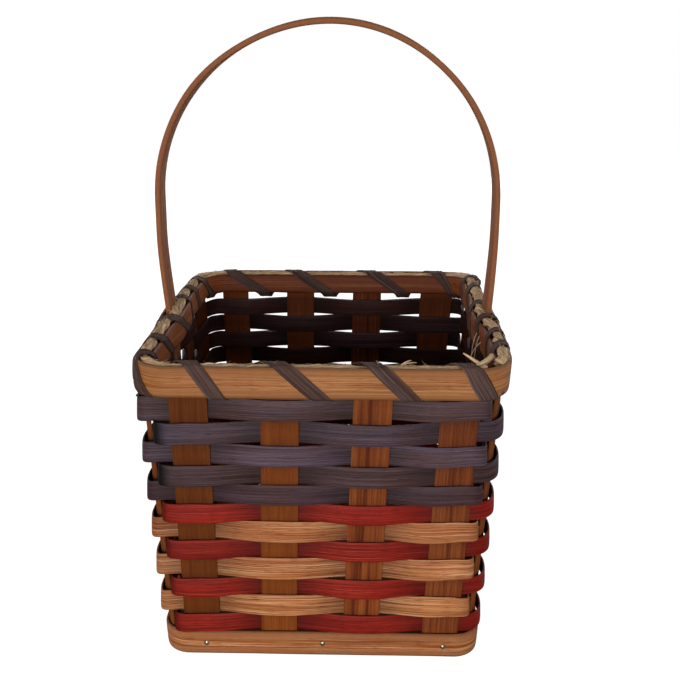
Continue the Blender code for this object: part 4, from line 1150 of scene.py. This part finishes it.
tacks = {
    "headRadius": 1.25 * mm, "headHigh": 0.62 * mm, "inset": 0.5 * mm,
    "shankShare": 0.5, "shankLong": 2 * mm, "tip": 0.02,
    "domeSteps": 8, "points": 20,
    # along and up, in mm, where the photo shows it
    "shifts": {"tack_front_1": (0.5, 0.4), "tack_front_2": (0.9, 0.9), "tack_front_3": (3.0, 0.2)},
}


# a low dome: rings shrink as the cosine while they rise as the sine
def makeTack(name):
    low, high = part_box(name)
    axis = 0 if high.x - low.x > high.y - low.y else 1
    other = 1 - axis
    middle = (np.array(low) + np.array(high)) / 2
    sign = np.sign(middle[axis])
    face = max(abs(low[axis]), abs(high[axis])) - tacks["inset"]
    along, up = tacks["shifts"].get(name, (0, 0))
    middle[[other, 2]] += np.array([along, up]) * mm
    lift = np.linspace(0, quarterTurn, tacks["domeSteps"])
    dome = between(tacks["tip"], 1, np.cos(lift))
    radius = np.concatenate([[tacks["shankShare"]] * 2, dome]) * tacks["headRadius"]
    depth = np.concatenate([[-tacks["shankLong"], 0], np.sin(lift) * tacks["headHigh"]])
    angle = tau * np.arange(tacks["points"]) / tacks["points"]
    grid = np.zeros((len(radius), len(angle), 3))
    grid[..., axis] = sign * (face + depth[:, None])
    grid[..., other] = middle[other] + radius[:, None] * np.cos(angle)[None]
    grid[..., 2] = middle[2] + radius[:, None] * np.sin(angle)[None]
    mesh = loftMesh(name + "Head", grid, (depth, np.linspace(0, 1, tacks["points"] + 1) * mm))
    return addPiece(name + "Head", mesh, "tack", "tack", name)


for side in range(4):
    for number in range(4):
        makeStake(side, number, 10 + side * 4 + number)
makeHandle()
for row, finish in enumerate(rows["finishes"], start=1):
    makeRow(row, finish, f"row_{row:02d}_{finish}")
makeRow(0, "purple", "row_under_rim")
print("uprights, handle and rows made")
outer, inner, bottom = (bands[k] for k in ("outer", "inner", "bottom"))
makeBand("bottom_band", bottom, bottomSeat, 1, 0, bottom["height"] / 2)
makeBand("rim_outer_band", outer, seat, 1, outerBulge, rimTop - outer["height"] / 2)
makeBand("rim_inner_band", inner, seat, -1, innerBulge, rimTop - inner["drop"] - inner["height"] / 2)
makeFiller()
makeFuzz()
makeLooseEnds()
makeLashing()
print("bands, filler and lashing made")
makeBoard()
for tackName in sorted(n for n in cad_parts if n.startswith("tack")):
    makeTack(tackName)
print("board and tacks made")

view = {
    "place": (17 * mm, -470 * mm, 290.5 * mm),
    "pitch": 19.0, "yaw": -1.3, "roll": -0.15,   # degrees down, to the right and clockwise
    "lens": 54.0, "sensor": 36, "nearest": 0.01,
}


# the camera turned to the right, tipped down and rolled, in degrees
def addCamera():
    camera = bpy.data.objects.new("camera", bpy.data.cameras.new("camera"))
    bpy.context.scene.collection.objects.link(camera)
    camera.location = view["place"]
    pitch, yaw, roll = (math.radians(view[k]) for k in ("pitch", "yaw", "roll"))
    turn = Matrix.Rotation(-yaw, 3, "Z") @ Matrix.Rotation(quarterTurn - pitch, 3, "X")
    camera.rotation_euler = (turn @ Matrix.Rotation(-roll, 3, "Z")).to_euler()
    camera.data.lens = view["lens"]
    camera.data.sensor_width = view["sensor"]
    camera.data.clip_start = view["nearest"]
    bpy.context.scene.camera = camera


# lamps stand low round the basket, so its outside is lit and its inside stays dark
studio = {
    "world": 0.2,
    "floorHalf": 4.0, "floorColour": 0.3, "floorGlow": 0.94,
    "aim": (0, 0, 80 * mm),
    "lamps": {   # place, size and power
        "front": ((-0.12, -1.15, 0.18), 0.6, 11.5),
        "left": ((-1.1, 0.35, 0.2), 0.8, 5.5),
        "right": ((1.1, 0.35, 0.2), 0.8, 5.5),
        "back": ((0.1, 1.2, 0.16), 0.8, 7.0),
        "top": ((0.1, -0.3, 1.4), 0.7, 2.0),
    },
}


# a square lamp turned to what the studio aims at
def addLamp(name, place, size, power):
    lamp = bpy.data.objects.new(name + "Lamp", bpy.data.lights.new(name + "Lamp", "AREA"))
    bpy.context.scene.collection.objects.link(lamp)
    lamp.data.size = size
    lamp.data.energy = power
    lamp.visible_camera = False
    lamp.location = place
    lamp.rotation_euler = (Vector(studio["aim"]) - Vector(place)).to_track_quat("-Z", "Y").to_euler()


# white to the camera, dim to everything else
def addWorld():
    world = bpy.data.worlds.new("studio")
    bpy.context.scene.world = world
    world.use_nodes = True
    tree = world.node_tree
    tree.nodes.clear()
    path = node(tree, "ShaderNodeLightPath")
    strength = node(tree, "ShaderNodeMapRange", [(path.outputs["Is Camera Ray"], "Value")])
    strength.inputs["To Min"].default_value = studio["world"]
    strength.inputs["To Max"].default_value = 1.0
    light = node(tree, "ShaderNodeBackground", [(strength.outputs[0], "Strength")], Color=(1, 1, 1, 1))
    node(tree, "ShaderNodeOutputWorld", [(light.outputs[0], "Surface")])


# grey paper that takes the shadow, with a glow that only the camera sees
def addFloor():
    mesh = bpy.data.meshes.new("floor")
    half = studio["floorHalf"]
    corners = [(-half, -half, 0), (half, -half, 0), (half, half, 0), (-half, half, 0)]
    mesh.from_pydata(corners, [], [(0, 1, 2, 3)])
    floor = bpy.data.objects.new("floor", mesh)
    bpy.context.scene.collection.objects.link(floor)
    made = bpy.data.materials.new("floorPaper")
    made.use_nodes = True
    tree = made.node_tree
    tree.nodes.clear()
    toCamera = node(tree, "ShaderNodeLightPath").outputs["Is Camera Ray"]
    seen = shift(tree, "MULTIPLY", toCamera, studio["floorGlow"])
    glow = node(tree, "ShaderNodeEmission", [(seen, "Strength")])
    paper = node(tree, "ShaderNodeBsdfDiffuse", Color=(studio["floorColour"],) * 3 + (1,))
    both = node(tree, "ShaderNodeAddShader", [(glow.outputs[0], 0), (paper.outputs[0], 1)])
    node(tree, "ShaderNodeOutputMaterial", [(both.outputs[0], "Surface")])
    mesh.materials.append(made)


addCamera()
addWorld()
addFloor()
for name, (place, size, power) in studio["lamps"].items():
    addLamp(name, place, size, power)
bpy.context.scene.view_settings.view_transform = "Standard"
print("camera and light set")
